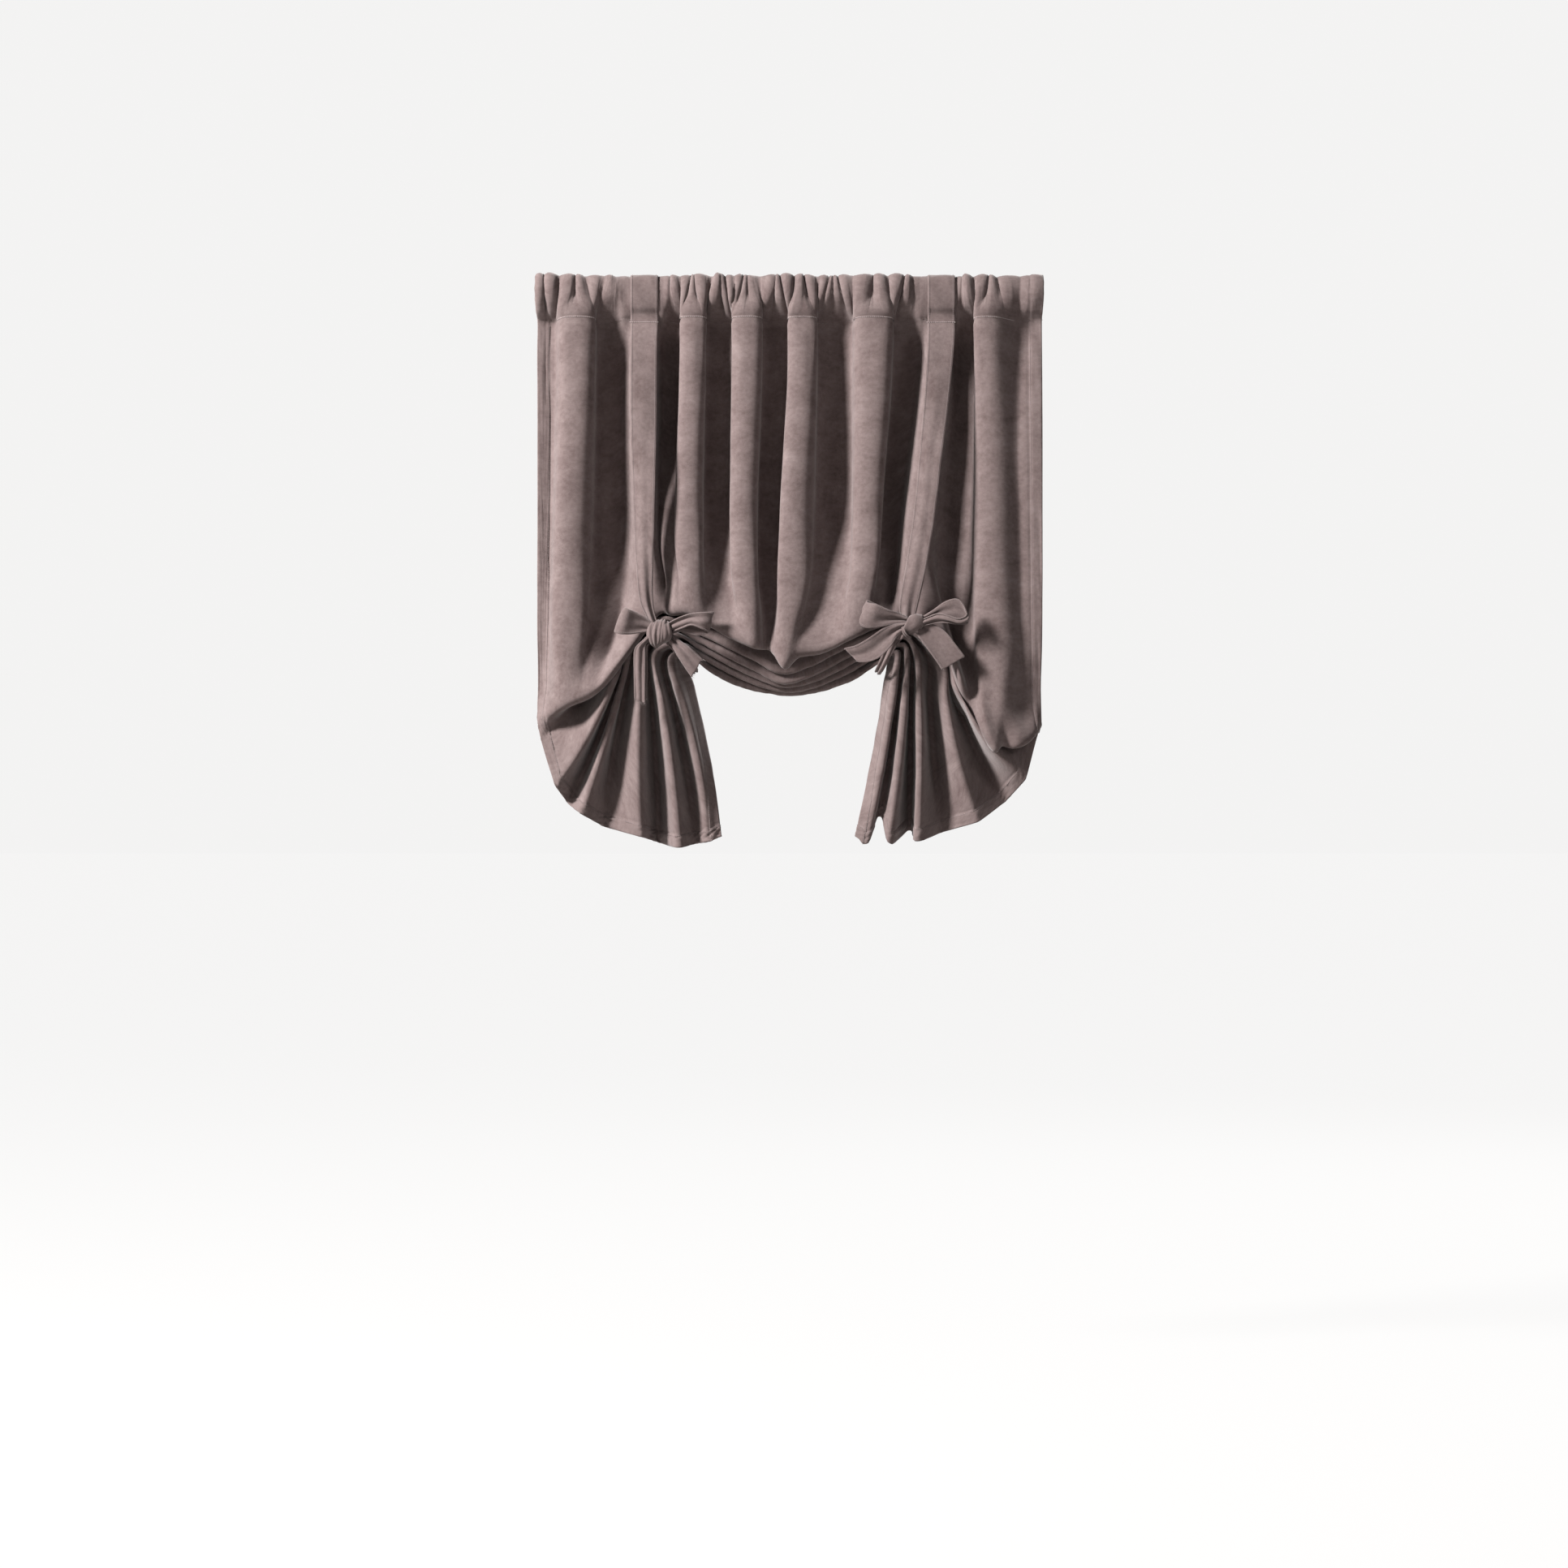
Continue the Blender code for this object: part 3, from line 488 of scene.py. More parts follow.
def densify(line, counts):
    # more points on one column, on a smooth curve whose knots are its own lengths
    points = np.array([tuple(p) for p in line])
    lengths = np.maximum(np.linalg.norm(np.diff(points, axis=0), axis=1), 1e-4) ** 0.5
    knots = np.concatenate([[0], np.cumsum(lengths)])
    slopes = np.empty_like(points)
    slopes[1:-1] = ((points[2:] - points[1:-1]) / lengths[1:, None] * lengths[:-1, None]
                    + (points[1:-1] - points[:-2]) / lengths[:-1, None] * lengths[1:, None]) \
        / (lengths[1:] + lengths[:-1])[:, None]
    slopes[0] = (points[1] - points[0]) / lengths[0]
    slopes[-1] = (points[-1] - points[-2]) / lengths[-1]
    out = []
    for i, count in enumerate(counts):
        span = knots[i + 1] - knots[i]
        u = (np.arange(count) / count)[:, None]
        out.append(hermite(points[i], points[i + 1], slopes[i], slopes[i + 1], span, u))
    out.append(points[-1:])
    return np.concatenate(out)


def gridNormals(grid):
    down = np.gradient(grid, axis=1)
    over = np.gradient(grid, axis=0)
    normal = np.cross(down, over)
    return normal / np.maximum(np.linalg.norm(normal, axis=2, keepdims=True), 1e-12)


def waves(u, v, seeds, low, high):
    # a sum of seeded ripples over the cloth, from -1 to 1
    rng = np.random.default_rng(seeds)
    total = np.zeros_like(u)
    for _ in range(14):
        across = rng.uniform(low[0], high[0]) * rng.choice((-1, 1))
        along = rng.uniform(low[1], high[1])
        start = rng.uniform(0, 6.283)
        total += np.sin(2 * math.pi * (across * u + along * v) + start) * rng.uniform(0.5, 1.0)
    return total / 5.0


def meshOfGrids(name, parts, material):
    # parts: a grid of points, their places on the flat cloth, and named values at each point
    faces = []
    start = 0
    for grid, _, _, _ in parts:
        rows, across = grid.shape[:2]
        index = np.arange(rows * across).reshape(rows, across) + start
        faces.append(np.stack([index[:-1, :-1], index[:-1, 1:], index[1:, 1:], index[1:, :-1]],
                              axis=-1).reshape(-1, 4))
        start += rows * across
    faces = np.concatenate(faces)
    made = bpy.data.meshes.new(name)
    made.from_pydata(np.concatenate([part[0].reshape(-1, 3) for part in parts]).tolist(), [], faces.tolist())
    layer = made.uv_layers.new(name="cloth")
    flat = np.concatenate([np.stack([u, v], axis=-1).reshape(-1, 2) for _, u, v, _ in parts])
    layer.data.foreach_set("uv", flat[faces.reshape(-1)].astype(np.float32).reshape(-1))
    for label in parts[0][3]:
        attribute = made.attributes.new(label, "FLOAT", "POINT")
        values = np.concatenate([part[3][label].reshape(-1) for part in parts])
        attribute.data.foreach_set("value", values.astype(np.float32))
    made.materials.append(material)
    made.polygons.foreach_set("use_smooth", [True] * len(made.polygons))
    return made


def addPiece(name, mesh):
    made = bpy.data.objects.new(name, mesh)
    bpy.context.scene.collection.objects.link(made)
    return made


def applied(piece):
    # the evaluated mesh takes the place of the modifiers
    graph = bpy.context.evaluated_depsgraph_get()
    mesh = bpy.data.meshes.new_from_object(piece.evaluated_get(graph))
    piece.modifiers.clear()
    piece.data = mesh


def thickened(piece, thickness):
    shell = piece.modifiers.new("Cloth", "SOLIDIFY")
    shell.thickness = thickness
    shell.offset = 0


def rowCounts():
    # how many rows each stretch of a column gets: pocket, body, pouch and pleats, hem
    pocket = [3, 3, 3, 3, 3, 3, 4, 6]
    body = [4, 4, 5, 5, 5, 4, 4]
    turn = [2, 2, 5]
    return pocket + body + turn * 10 + [2, 2, 4] + [5]


def buildPanel():
    columns = panel["columns"]
    turns = [pleatTurn(turn) for turn in range(1, 12)]
    edge = panel["edgeColumns"]
    near = np.linspace(0, 0.5, edge + 1)
    stations = np.concatenate([near[:-1], np.linspace(0.5, 15.5, columns - 2 * edge + 1), 16 - near[-2::-1]])
    lines = [clothColumn(station, turns) for station in stations]
    counts = rowCounts()
    assert len(counts) == len(lines[0]) - 1, (len(counts), len(lines[0]))
    grid = np.array([densify(line, counts) for line in lines])
    starts = np.concatenate([[0], np.cumsum(counts)])
    seamRow, pouchRow = starts[8], starts[16]
    across = lengthAlong(grid[:, starts[11]])
    u = np.repeat((across / across[-1] * panel["flat"][0])[:, None], grid.shape[1], axis=1)
    steps = np.linalg.norm(np.diff(grid, axis=1), axis=2)
    v = np.concatenate([np.zeros((columns + 1, 1)), np.cumsum(steps, axis=1)], axis=1)
    sideways = np.linalg.norm(np.diff(grid, axis=0), axis=2)
    edges = np.zeros((1, grid.shape[1]))
    fromLeft = np.concatenate([edges, np.cumsum(sideways, axis=0)])
    fromRight = np.concatenate([np.cumsum(sideways[::-1], axis=0)[::-1], edges])
    fromSide = np.minimum(fromLeft, fromRight)
    fromBottom = v[:, -1:] - v
    rowNumber = np.arange(grid.shape[1])[None, :] + np.zeros_like(u)

    # hems: a doubled band with a stitched groove and puckers
    sideHem, bottomHem = panel["sideHem"], panel["bottomHem"]
    step, grooveWidth = panel["hemStep"], panel["grooveWidth"]
    sideBand = 1 - smoothAll(sideHem, sideHem + step, fromSide)
    groove = bell((fromSide - sideHem) / grooveWidth)
    bottomBand = 1 - smoothAll(bottomHem, bottomHem + step, fromBottom)
    bottomGroove = bell((fromBottom - bottomHem) / grooveWidth)
    fromSeam = v - v[:, seamRow:seamRow + 1]
    seamDistance = np.abs(fromSeam)
    seamGroove = bell(seamDistance / panel["seamGrooveWidth"]) * (rowNumber > 4)
    pucker = waves(u, v, 5, (4, 38), (30, 62))
    seamPucker = np.exp(-seamDistance / 0.006) * waves(u, v, 41, (70, 0), (130, 8)) * (rowNumber > 4)
    lowerPart = smoothAll(pouchRow - 6, pouchRow + 4, rowNumber)
    soft = waves(u, v, 11, (1.5, 2.0), (7.0, 3.0))
    fine = waves(u, v, 23, (6.0, 3.0), (22.0, 9.0))
    header = 1 - smoothAll(seamRow - 4, seamRow + 2, rowNumber)
    justBelow = np.exp(-np.maximum(fromSeam, 0) / 0.030) * (rowNumber >= seamRow)
    headerCreases = waves(u, v, 31, (14.0, 2.0), (34.0, 14.0))
    pressedBySide = smoothAll(0.0, 0.004, fromSide)
    pressed = np.array([underStrap(station, 0.65, 1.25) for station in stations])

    offset = panel["hemRise"] * (sideBand + bottomBand)
    offset -= panel["grooveDepth"] * (groove + bottomGroove) + panel["seamGrooveDepth"] * seamGroove
    offset += sideBand * pucker * mix(*panel["sidePucker"], lowerPart) + panel["seamPucker"] * seamPucker
    offset += panel["softRipple"] * soft * pressedBySide + panel["fineRipple"] * fine
    offset += panel["headerCrease"] * headerCreases * (header + 0.6 * justBelow)
    normal = gridNormals(grid)
    grid = grid + normal * offset[:, :, None]

    # lighter in the stitched grooves and on the hem bands: worn pile in the grooves, painted sheen on the
    # hem edges
    wear = 0.5 * (groove + bottomGroove + seamGroove) + 0.25 * (sideBand + bottomBand)
    gathered = (header * (1 - 0.65 * smoothAll(starts[5], starts[8], rowNumber)) + 0.35 * justBelow) \
        * (1 - smoothAll(0.75, 0.95, pressed)[:, None])
    shown = {"wear": wear, "gathered": gathered}
    mesh = meshOfGrids("curtainCloth", [(grid, u, fromSeam, shown)], panelVelvet)
    piece = addPiece("curtain_cloth", mesh)
    thickened(piece, panel["cloth"])
    applied(piece)
    return piece, grid, v, starts, stations


clothPiece, clothGrid, clothV, clothRows, clothStations = buildPanel()
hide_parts("curtain_panel")
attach(clothPiece, "root")
print("panel made:", len(clothPiece.data.polygons), "faces")


# Stitching
stitching = {
    "pitch": 0.0034,
    "length": 0.0024,
    "threadRadius": 0.00034,
    "seamThreadRadius": 0.00048,
    "proud": 0.00025,
    "sideSeam": 0.0205,            # how far the hems' stitches lie from the edge
    "bottomSeam": 0.0195,
    "strapSeam": 0.86,             # share of a strap's half width
}


def stitchTree():
    tree = bpy.data.node_groups.new("StitchRow", "GeometryNodeTree")
    face = tree.interface
    face.new_socket("Line", in_out="INPUT", socket_type="NodeSocketGeometry")
    for name in ("Pitch", "Stitch Length", "Thread Radius"):
        face.new_socket(name, in_out="INPUT", socket_type="NodeSocketFloat")
    face.new_socket("Thread", in_out="INPUT", socket_type="NodeSocketMaterial")
    face.new_socket("Stitches", in_out="OUTPUT", socket_type="NodeSocketGeometry")
    add = tree.nodes.new
    given, made = add("NodeGroupInput"), add("NodeGroupOutput")
    curve = add("GeometryNodeMeshToCurve")
    resample = add("GeometryNodeResampleCurve")
    resample.mode = "LENGTH"
    tangent = add("GeometryNodeInputTangent")
    align = add("FunctionNodeAlignEulerToVector")
    align.axis = "Z"
    thread = add("GeometryNodeMeshCylinder")
    thread.inputs["Vertices"].default_value = 5
    onPoints = add("GeometryNodeInstanceOnPoints")
    real = add("GeometryNodeRealizeInstances")
    colour = add("GeometryNodeSetMaterial")
    for source, output, target, entry in (
            (given, "Line", curve, "Mesh"), (curve, "Curve", resample, "Curve"),
            (given, "Pitch", resample, "Length"), (resample, "Curve", onPoints, "Points"),
            (tangent, "Tangent", align, "Vector"), (align, "Rotation", onPoints, "Rotation"),
            (given, "Stitch Length", thread, "Depth"), (given, "Thread Radius", thread, "Radius"),
            (thread, "Mesh", onPoints, "Instance"), (onPoints, "Instances", real, "Geometry"),
            (real, "Geometry", colour, "Geometry"), (given, "Thread", colour, "Material"),
            (colour, "Geometry", made, "Stitches")):
        tree.links.new(source.outputs[output], target.inputs[entry])
    return tree


stitchRow = stitchTree()


def stitchPiece(name, lines, radius, thread):
    points, edges = [], []
    for line in lines:
        start = len(points)
        points += [tuple(point) for point in line]
        edges += [(start + i, start + i + 1) for i in range(len(line) - 1)]
    mesh = bpy.data.meshes.new(name + "Line")
    mesh.from_pydata(points, edges, [])
    piece = addPiece(name, mesh)
    row = piece.modifiers.new("Stitches", "NODES")
    row.node_group = stitchRow
    values = {"Pitch": stitching["pitch"], "Stitch Length": stitching["length"], "Thread Radius": radius,
              "Thread": thread}
    for item in stitchRow.interface.items_tree:
        if item.in_out == "INPUT" and item.name in values:
            row[item.identifier] = values[item.name]
    applied(piece)
    piece.data.polygons.foreach_set("use_smooth", [True] * len(piece.data.polygons))
    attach(piece, "root")


def lineAtDistance(points, distances, wanted):
    # the place along a row of points where the distance reaches the wanted one
    i = int(np.searchsorted(distances, wanted))
    i = min(max(i, 1), len(distances) - 1)
    share = (wanted - distances[i - 1]) / max(distances[i] - distances[i - 1], 1e-9)
    return points[i - 1] + (points[i] - points[i - 1]) * share


def panelStitches():
    grid, v, starts = clothGrid, clothV, clothRows
    normal = gridNormals(grid)
    seamRow = starts[8]
    front = -1.0 if normal[len(grid) // 2, starts[10], 1] > 0 else 1.0
    proud = front * (panel["cloth"] / 2 + stitching["proud"])
    outside = grid + normal * proud
    rows = range(seamRow + 1, grid.shape[1])
    sideways = np.linalg.norm(np.diff(grid, axis=0), axis=2)
    sides = []
    for order in (1, -1):
        distances = np.concatenate([np.zeros((1, grid.shape[1])), np.cumsum(sideways[::order], axis=0)])
        points = outside[::order]
        sides.append([lineAtDistance(points[:60, row], distances[:60, row], stitching["sideSeam"])
                      for row in rows])
    fromBottom = v[:, -1:] - v
    bottom = [lineAtDistance(outside[column, ::-1][:30], fromBottom[column, ::-1][:30],
                             stitching["bottomSeam"]) for column in range(len(grid))]
    # the pocket's line shows on the folds and sinks between them
    shown = smoothAll(-0.3, 0.3, np.array([foldWave(station) for station in clothStations]))[:, None]
    seam = list(outside[:, seamRow] + normal[:, seamRow] * front * mix(-0.0014, 0.0006, shown))
    stitchPiece("hem_stitches", sides + [bottom], stitching["threadRadius"], clothThread)
    stitchPiece("pocket_stitches", [seam], stitching["seamThreadRadius"], paleThread)


panelStitches()
print("hems stitched")


# The ties
tie = {
    "strapWidth": 0.047,
    "thickness": 0.0022,
    "bowUnit": 0.001383,           # one step of the bows' own measure, in metres
    "leftKnot": (-0.2185, 0.060, 0.5935),
    "rightKnot": (0.2060, 0.060, 0.5785),
    "seatGap": 0.0006,             # between strap and pocket
    "sewnDrop": 0.0605,
    "pleats": 0.0042,
    "creases": 1.7,                # across a folded strap
    "flat": (0.047, 1.00),
    "leftStrap": -0.2475,          # where the straps cross the pocket
    "rightStrap": 0.258,
    "wrinkle": 0.0007,
    "seamDepth": 0.0005,
    "seamPlace": 0.80,             # share of the half width
    "seamSpread": 0.07,
    "sewnDepth": 0.0011,
    "sewnSpread": 0.004,
}

fray = {
    "threads": 26,                 # at each cut end
    "length": (0.003, 0.0065),
    "radius": 0.00022,
    "taper": 0.6,
    "steps": 5,
    "sides": 3,
    "heldIn": 0.001,
}


tieSeams = []
strapSeams = []
frayedEnds = []


def lofted(stops, perSpan=7, across=12, pleats=0.0, phase=0.0, seed=3, ragged=0.0, sewn=(1,),
           sewnDrop=0.0):
    # stops: one edge's point, the other edge's point, how far the middle bulges forward
    knots = list(range(len(stops)))
    firsts = [Vector(stop[0]) for stop in stops]
    seconds = [Vector(stop[1]) for stop in stops]
    bulges = [stop[2] for stop in stops]
    total = perSpan * knots[-1]
    side = np.linspace(-1, 1, across + 1)
    grid = np.zeros((total + 1, across + 1, 3))
    faces = np.zeros((total + 1, 3))
    for step in range(total + 1):
        at = step / perSpan
        first = through(knots, firsts, at)
        second = through(knots, seconds, at)
        ahead = min(at + 0.05, knots[-1])
        behind = max(at - 0.05, 0)
        along = (through(knots, firsts, ahead) + through(knots, seconds, ahead)
                 - through(knots, firsts, behind) - through(knots, seconds, behind)).normalized()
        half = (second - first) / 2
        face = along.cross(half).normalized()
        faces[step] = face
        # a strap narrower than its own width is folded along itself
        slack = max(0.0, 1 - half.length * 2 / tie["strapWidth"])
        folds = pleats * slack * np.cos(math.pi * tie["creases"] * side + phase + 0.25 * math.sin(2 * at)) \
            * (1 - side**4)
        lift = through(knots, bulges, at) * (1 - side**2) + folds
        grid[step] = (np.array((first + second) / 2) + side[:, None] * np.array(half)
                      + lift[:, None] * np.array(face))
    v = np.repeat(lengthAlong(grid[:, across // 2])[:, None], across + 1, axis=1)
    u = np.repeat((side * tie["strapWidth"] / 2)[None, :], total + 1, axis=0)
    wrinkles = waves(u, v, seed, (8.0, 5.0), (34.0, 16.0)) * tie["wrinkle"]
    seam = -tie["seamDepth"] * bell((np.abs(side) - tie["seamPlace"]) / tie["seamSpread"])
    grid += faces[:, None, :] * (wrinkles + seam[None, :])[:, :, None]
    if ragged:
        rng = np.random.default_rng(seed)
        grid[-1] += (grid[-1] - grid[-2]) / np.linalg.norm(grid[-1] - grid[-2], axis=1, keepdims=True) \
            * rng.uniform(-1, 1, across + 1)[:, None] * ragged
        frayedEnds.append((grid[-1].copy(), grid[-1] - grid[-3], faces[-1].copy()))
    # lighter towards the strap's long edges: partly worn pile, partly a painted sheen on the edges
    wear = smoothAll(0.72, 0.98, np.abs(side))[None, :] + np.zeros_like(u)
    if sewnDrop:
        # the stitched line that holds a strap to the pocket
        sewnRow = int(np.argmin(np.abs(grid[:, across // 2, 2] + sewnDrop)))
        strapSeams.append(grid[sewnRow] + faces[sewnRow] * tie["thickness"] * 0.55)
        sunk = bell((grid[:, :, 2:3] + sewnDrop) / tie["sewnSpread"])
        grid -= faces[:, None, :] * (tie["sewnDepth"] * sunk)
    for facing in sewn:
        proud = faces * facing * (tie["thickness"] / 2 + stitching["proud"])
        for share in (-stitching["strapSeam"], stitching["strapSeam"]):
            place = (share + 1) / 2 * across
            low = int(place)
            line = grid[:, low] + (grid[:, low + 1] - grid[:, low]) * (place - low)
            tieSeams.append(line + proud)
    return grid, u, v, {"wear": 0.5 * wear}


def strapStop(across, forward, drop, half, bulge=0.0, ahead=0.0, down=0.0):
    middle = placed(across, forward, drop)
    reach = Vector((half, -ahead, -down))
    return tuple(middle - reach), tuple(middle + reach), bulge


def strapOverPocket(across, front):
    clear = panel["cloth"] / 2 + tie["seatGap"] + tie["thickness"] / 2
    reach = Vector((tie["strapWidth"] / 2, 0, 0))
    ring = pocketRing()
    stops = []
    for place in (4, 5, 6, 7, 8) if front else (4, 3, 2, 1):
        back, drop = ring[place]
        if place == 4:
            out = Vector((0.0, -0.35 if front else 0.35, 1.0)).normalized()
            middle = Vector((across, (-2 if front else 2) * tie["seatGap"], -drop)) + out * clear * 1.15
        elif place == 8:
            middle = Vector((across, back - 2.4 * clear, -drop))
        else:
            out = Vector((0.0, back, -drop if abs(drop) < panel["rodRadius"] else 0.0)).normalized()
            middle = Vector((across, back, -drop)) + out * clear * (1.4 if front else 1.8)
        stops.append((tuple(middle - reach), tuple(middle + reach), 0.0))
    return stops


def bowStops(knotPlace, rows):
    # rows are in the bow's own measure from the knot's middle: right, down, forward for both edges, bulge
    centre = placed(*knotPlace)
    unit = tie["bowUnit"]
    return [(tuple(centre + Vector((ax, -af, -ad)) * unit), tuple(centre + Vector((bx, -bf, -bd)) * unit),
             bulge * unit) for (ax, ad, af), (bx, bd, bf), bulge in rows]


def tiePiece(name, parts):
    piece = addPiece(name, meshOfGrids(name + "Mesh", parts, shadedTieVelvet))
    thickened(piece, tie["thickness"])
    rounding = piece.modifiers.new("Rounding", "SUBSURF")
    rounding.levels = 1
    rounding.render_levels = 1
    applied(piece)
    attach(piece, "root")
    return piece


# left bow
leftOuterLoop = (
    ((-6, -10, 3), (-9, -3, 3), 0),
    ((-16, -18, 5), (-21, -1, 6), -2),
    ((-29, -25, 9), (-36, 1.5, 10), -1),
    ((-38, -29.5, 12), (-48, 1.5, 13), 1),
    ((-43, -31.5, 9), (-56, -1, 9.5), 1.5),
    ((-42, -31, 4), (-54, -2, 4), 1),
    ((-32, -27.5, 1), (-40, -1, 1), 0),
    ((-18, -20.5, 0), (-22, -5, 0), 0),
    ((-6, -12, 0), (-8, -6, 0), 0),
)
leftInnerLoop = (
    ((9, -13, 3), (14, -1, 4), 0),
    ((22, -19.5, 8), (27, -6, 9), 1),
    ((36, -24, 12), (38, -9.5, 13), 1),
    ((52, -26, 12), (50, -5, 13), -2),
    ((64, -26.5, 8), (57.5, -1, 9), -1),
    ((63, -26, 4), (55, 2, 4.5), 1),
    ((50, -24, 2.5), (42, 2.5, 3), 0),
    ((34, -20, 1.5), (26, -2, 2), 0),
    ((12, -12, 0), (13, 1, 0), 0),
)
leftOuterTail = (
    ((-8, -4, 5), (-5, 2, 4), 0),
    ((-20, 7, 8), (-13, 8, 5), 0.5),
    ((-31, 18, 7), (-18, 15, 6), 0.8),
    ((-32.8, 30, 6), (-18, 30, 6), 1),
    ((-32.8, 46, 5), (-18, 46, 6), 0.6),
    ((-32.4, 64, 3.5), (-18.2, 66, 5), 1),
    ((-32, 80, 2.5), (-18.4, 86, 4), 0.4),
)
leftTailFold = (
    ((-6, 0, 2), (-3, 3, 2), 0),
    ((-17, 10, 3), (-12, 12, 3), 0),
    ((-29, 20, 3.5), (-15.5, 18, 4), 0),
    ((-31, 46, 3), (-15.5, 46, 4), 0.4),
    ((-30.5, 62, 2), (-15.8, 63, 3), 0.4),
    ((-30, 77, 1.2), (-16.2, 80, 2.2), 0),
)
leftInnerTail = (
    ((4, 4, 0), (13, -2, 0), 0),
    ((13, 15, 2.5), (24, 8.5, 3), 1.5),
    ((20, 27, 5), (36, 17, 6), 2.5),
    ((29, 41, 5), (45, 25, 6), 1.5),
    ((38, 54, 4.5), (51.5, 31, 6), 0.5),
)
leftKnotWraps = (
    (
        ((-9, -14, -2), (-4, -16, -1), 0),
        ((-15, -8, 4), (-7, -12, 7), 1.2),
        ((-17, 2, 6), (-9, 0, 9), 1.5),
        ((-14, 11, 4), (-7, 12, 7), 1.2),
        ((-9, 16, -2), (-5, 17, -1), 0),
    ),
    (
        ((-5, -16, -1), (1, -17, -1), 0),
        ((-8, -10, 7), (0, -12, 8), 1.4),
        ((-10, 2, 9.5), (-3, 1, 11), 1.6),
        ((-9, 12, 6), (-3, 12, 7), 1.2),
        ((-7, 18, -2), (-3, 18, -1), 0),
    ),
    (
        ((0, -17, -1), (6, -17, -1), 0),
        ((-2, -11, 8), (6, -12, 8), 1.2),
        ((-4, 0, 11), (4, 1, 11.5), 1.4),
        ((-5, 11, 7), (2, 11, 8), 1.2),
        ((-6, 17, -1), (0, 15, -1), 0),
    ),
    (
        ((4, -17, 0), (10, -14, -2), 0),
        ((3, -10, 9.5), (12, -8, 7), 1.6),
        ((3, 0, 12), (14, 0, 8), 1.8),
        ((1, 9, 9), (13, 6, 6), 1.2),
        ((-2, 14, 1), (10, 9, -2), 0),
    ),
)

# right bow
rightInnerLoop = (
    ((-4, -9, 3), (-7, -2, 3), 0),
    ((-16, -14.5, 6), (-21, 0, 6), -2),
    ((-30, -18.5, 10), (-38, 3.5, 10), -1.5),
    ((-42, -24, 12), (-53, 5, 11), 1),
    ((-49, -26, 9), (-62.5, 1, 9), 1.5),
    ((-55, -28, 4), (-62.5, -5, 5), 1),
    ((-52, -29.5, 1), (-52, -6, 2), 0),
    ((-27, -18, 0), (-30, -4, 1), 0),
    ((-6, -9, 0), (-8, -4, 0), 0),
)
rightOuterLoop = (
    ((12, -9, 0), (12, 0, 0), 0),
    ((27, -18.5, 2), (28, -4, 1), -1),
    ((40, -28, 3), (42, -5, 2), -1.5),
    ((53, -32, 3), (56, -5, 3), -1),
    ((62, -27, 5), (66, -3, 5), 1),
    ((67, -13, 9), (68.3, -1, 7), 1),
    ((57, -7, 13), (60, 0, 8), 1),
    ((45, -10.5, 12), (42, -1.8, 8), 0.5),
    ((31, -13.5, 9), (29, -1, 6), 0.5),
    ((12, -6, 5), (12, 2.5, 4), 0),
)
rightInnerTail = (
    ((-3, -3, 5), (-6, 5, 5), 0),
    ((-20, -1, 7), (-17, 14, 7), -1),
    ((-35, 4.5, 9), (-26, 28, 9), -2.5),
    ((-52, 16, 9), (-40, 41, 10), -3.5),
    ((-68, 25, 8), (-53, 46, 10), -3),
    ((-83, 29, 7), (-65.5, 46.5, 8), -1.5),
)
rightOuterTail = (
    ((1, 4, 1), (10, -2, 1), 0),
    ((8, 15, 4), (27, 0, 3), -1.5),
    ((16, 26, 6), (42, 9, 5), -2.5),
    ((27, 41, 6.5), (54, 24, 6), -1.5),
    ((37.3, 56.2, 5), (65.5, 39, 6), 0),
)
rightKnotWraps = (
    (
        ((-1, -12, -2), (13, -12, -3), 0),
        ((-4, -9, 7), (13.5, -10, 4), 1.6),
        ((-8, -1, 10), (13.5, -1, 6.5), 2.2),
        ((-11, 6, 8), (8, 6, 7), 1.6),
        ((-10, 11, 0), (1, 13, -1), 0),
    ),
    (
        ((11, -12, -2), (15, -10, -4), 0),
        ((11, -8, 6), (15.5, -7, 2), 0.6),
        ((11, -1, 7.5), (15, 0, 3), 0.6),
        ((9, 5, 5), (13, 4, -1), 0),
    ),
    (
        ((-10, 2, 8), (-13, 4, 4), 0),
        ((-8, 8, 9.5), (-12, 10, 6), 0.5),
        ((-4, 13, 7), (-8, 15, 4), 0.5),
        ((0, 15, 0), (-3, 17, -1), 0),
    ),
    (
        ((-11, 8, 4), (-8, 12, 4), 0),
        ((-15, 11, 6), (-10, 15, 6), -0.8),
        ((-18, 15, 5), (-12, 18, 5), -0.8),
        ((-19, 17, 2), (-14, 18.6, 2), 0),
    ),
)


# a strap's stops below the pocket: across, forward, drop, half width, bulge, and how far the right
# edge lies ahead and down
frontLeftStrap = (
    (-0.248, 0.030, 0.110, 0.0228),
    (-0.248, 0.040, 0.230, 0.0225, 0.002),
    (-0.247, 0.045, 0.340, 0.0195, 0.003, 0.006),
    (-0.246, 0.050, 0.450, 0.0160, 0.004, 0.006),
    (-0.2434, 0.056, 0.530, 0.0122, 0.004),
    (-0.234, 0.060, 0.566, 0.0078, 0.003),
    (-0.223, 0.060, 0.586, 0.0080, 0.002),
)
backLeftStrap = (
    (-0.248, -0.036, 0.110, 0.0228),
    (-0.248, -0.046, 0.230, 0.0220),
    (-0.245, -0.046, 0.350, 0.0190),
    (-0.236, -0.046, 0.470, 0.0140),
    (-0.216, -0.052, 0.570, 0.0090, -0.003),
    (-0.182, -0.046, 0.628, 0.0065, -0.003, 0, -0.0045),
    (-0.164, -0.024, 0.652, 0.0040, 0, 0, -0.0035),
    (-0.160, 0.006, 0.656, 0.0040, 0, 0, -0.0035),
    (-0.170, 0.034, 0.645, 0.0045, 0, 0, -0.0060),
    (-0.192, 0.039, 0.616, 0.0065, 0, 0, -0.0060),
    (-0.2105, 0.0395, 0.594, 0.0080, 0, 0, -0.0060),
)
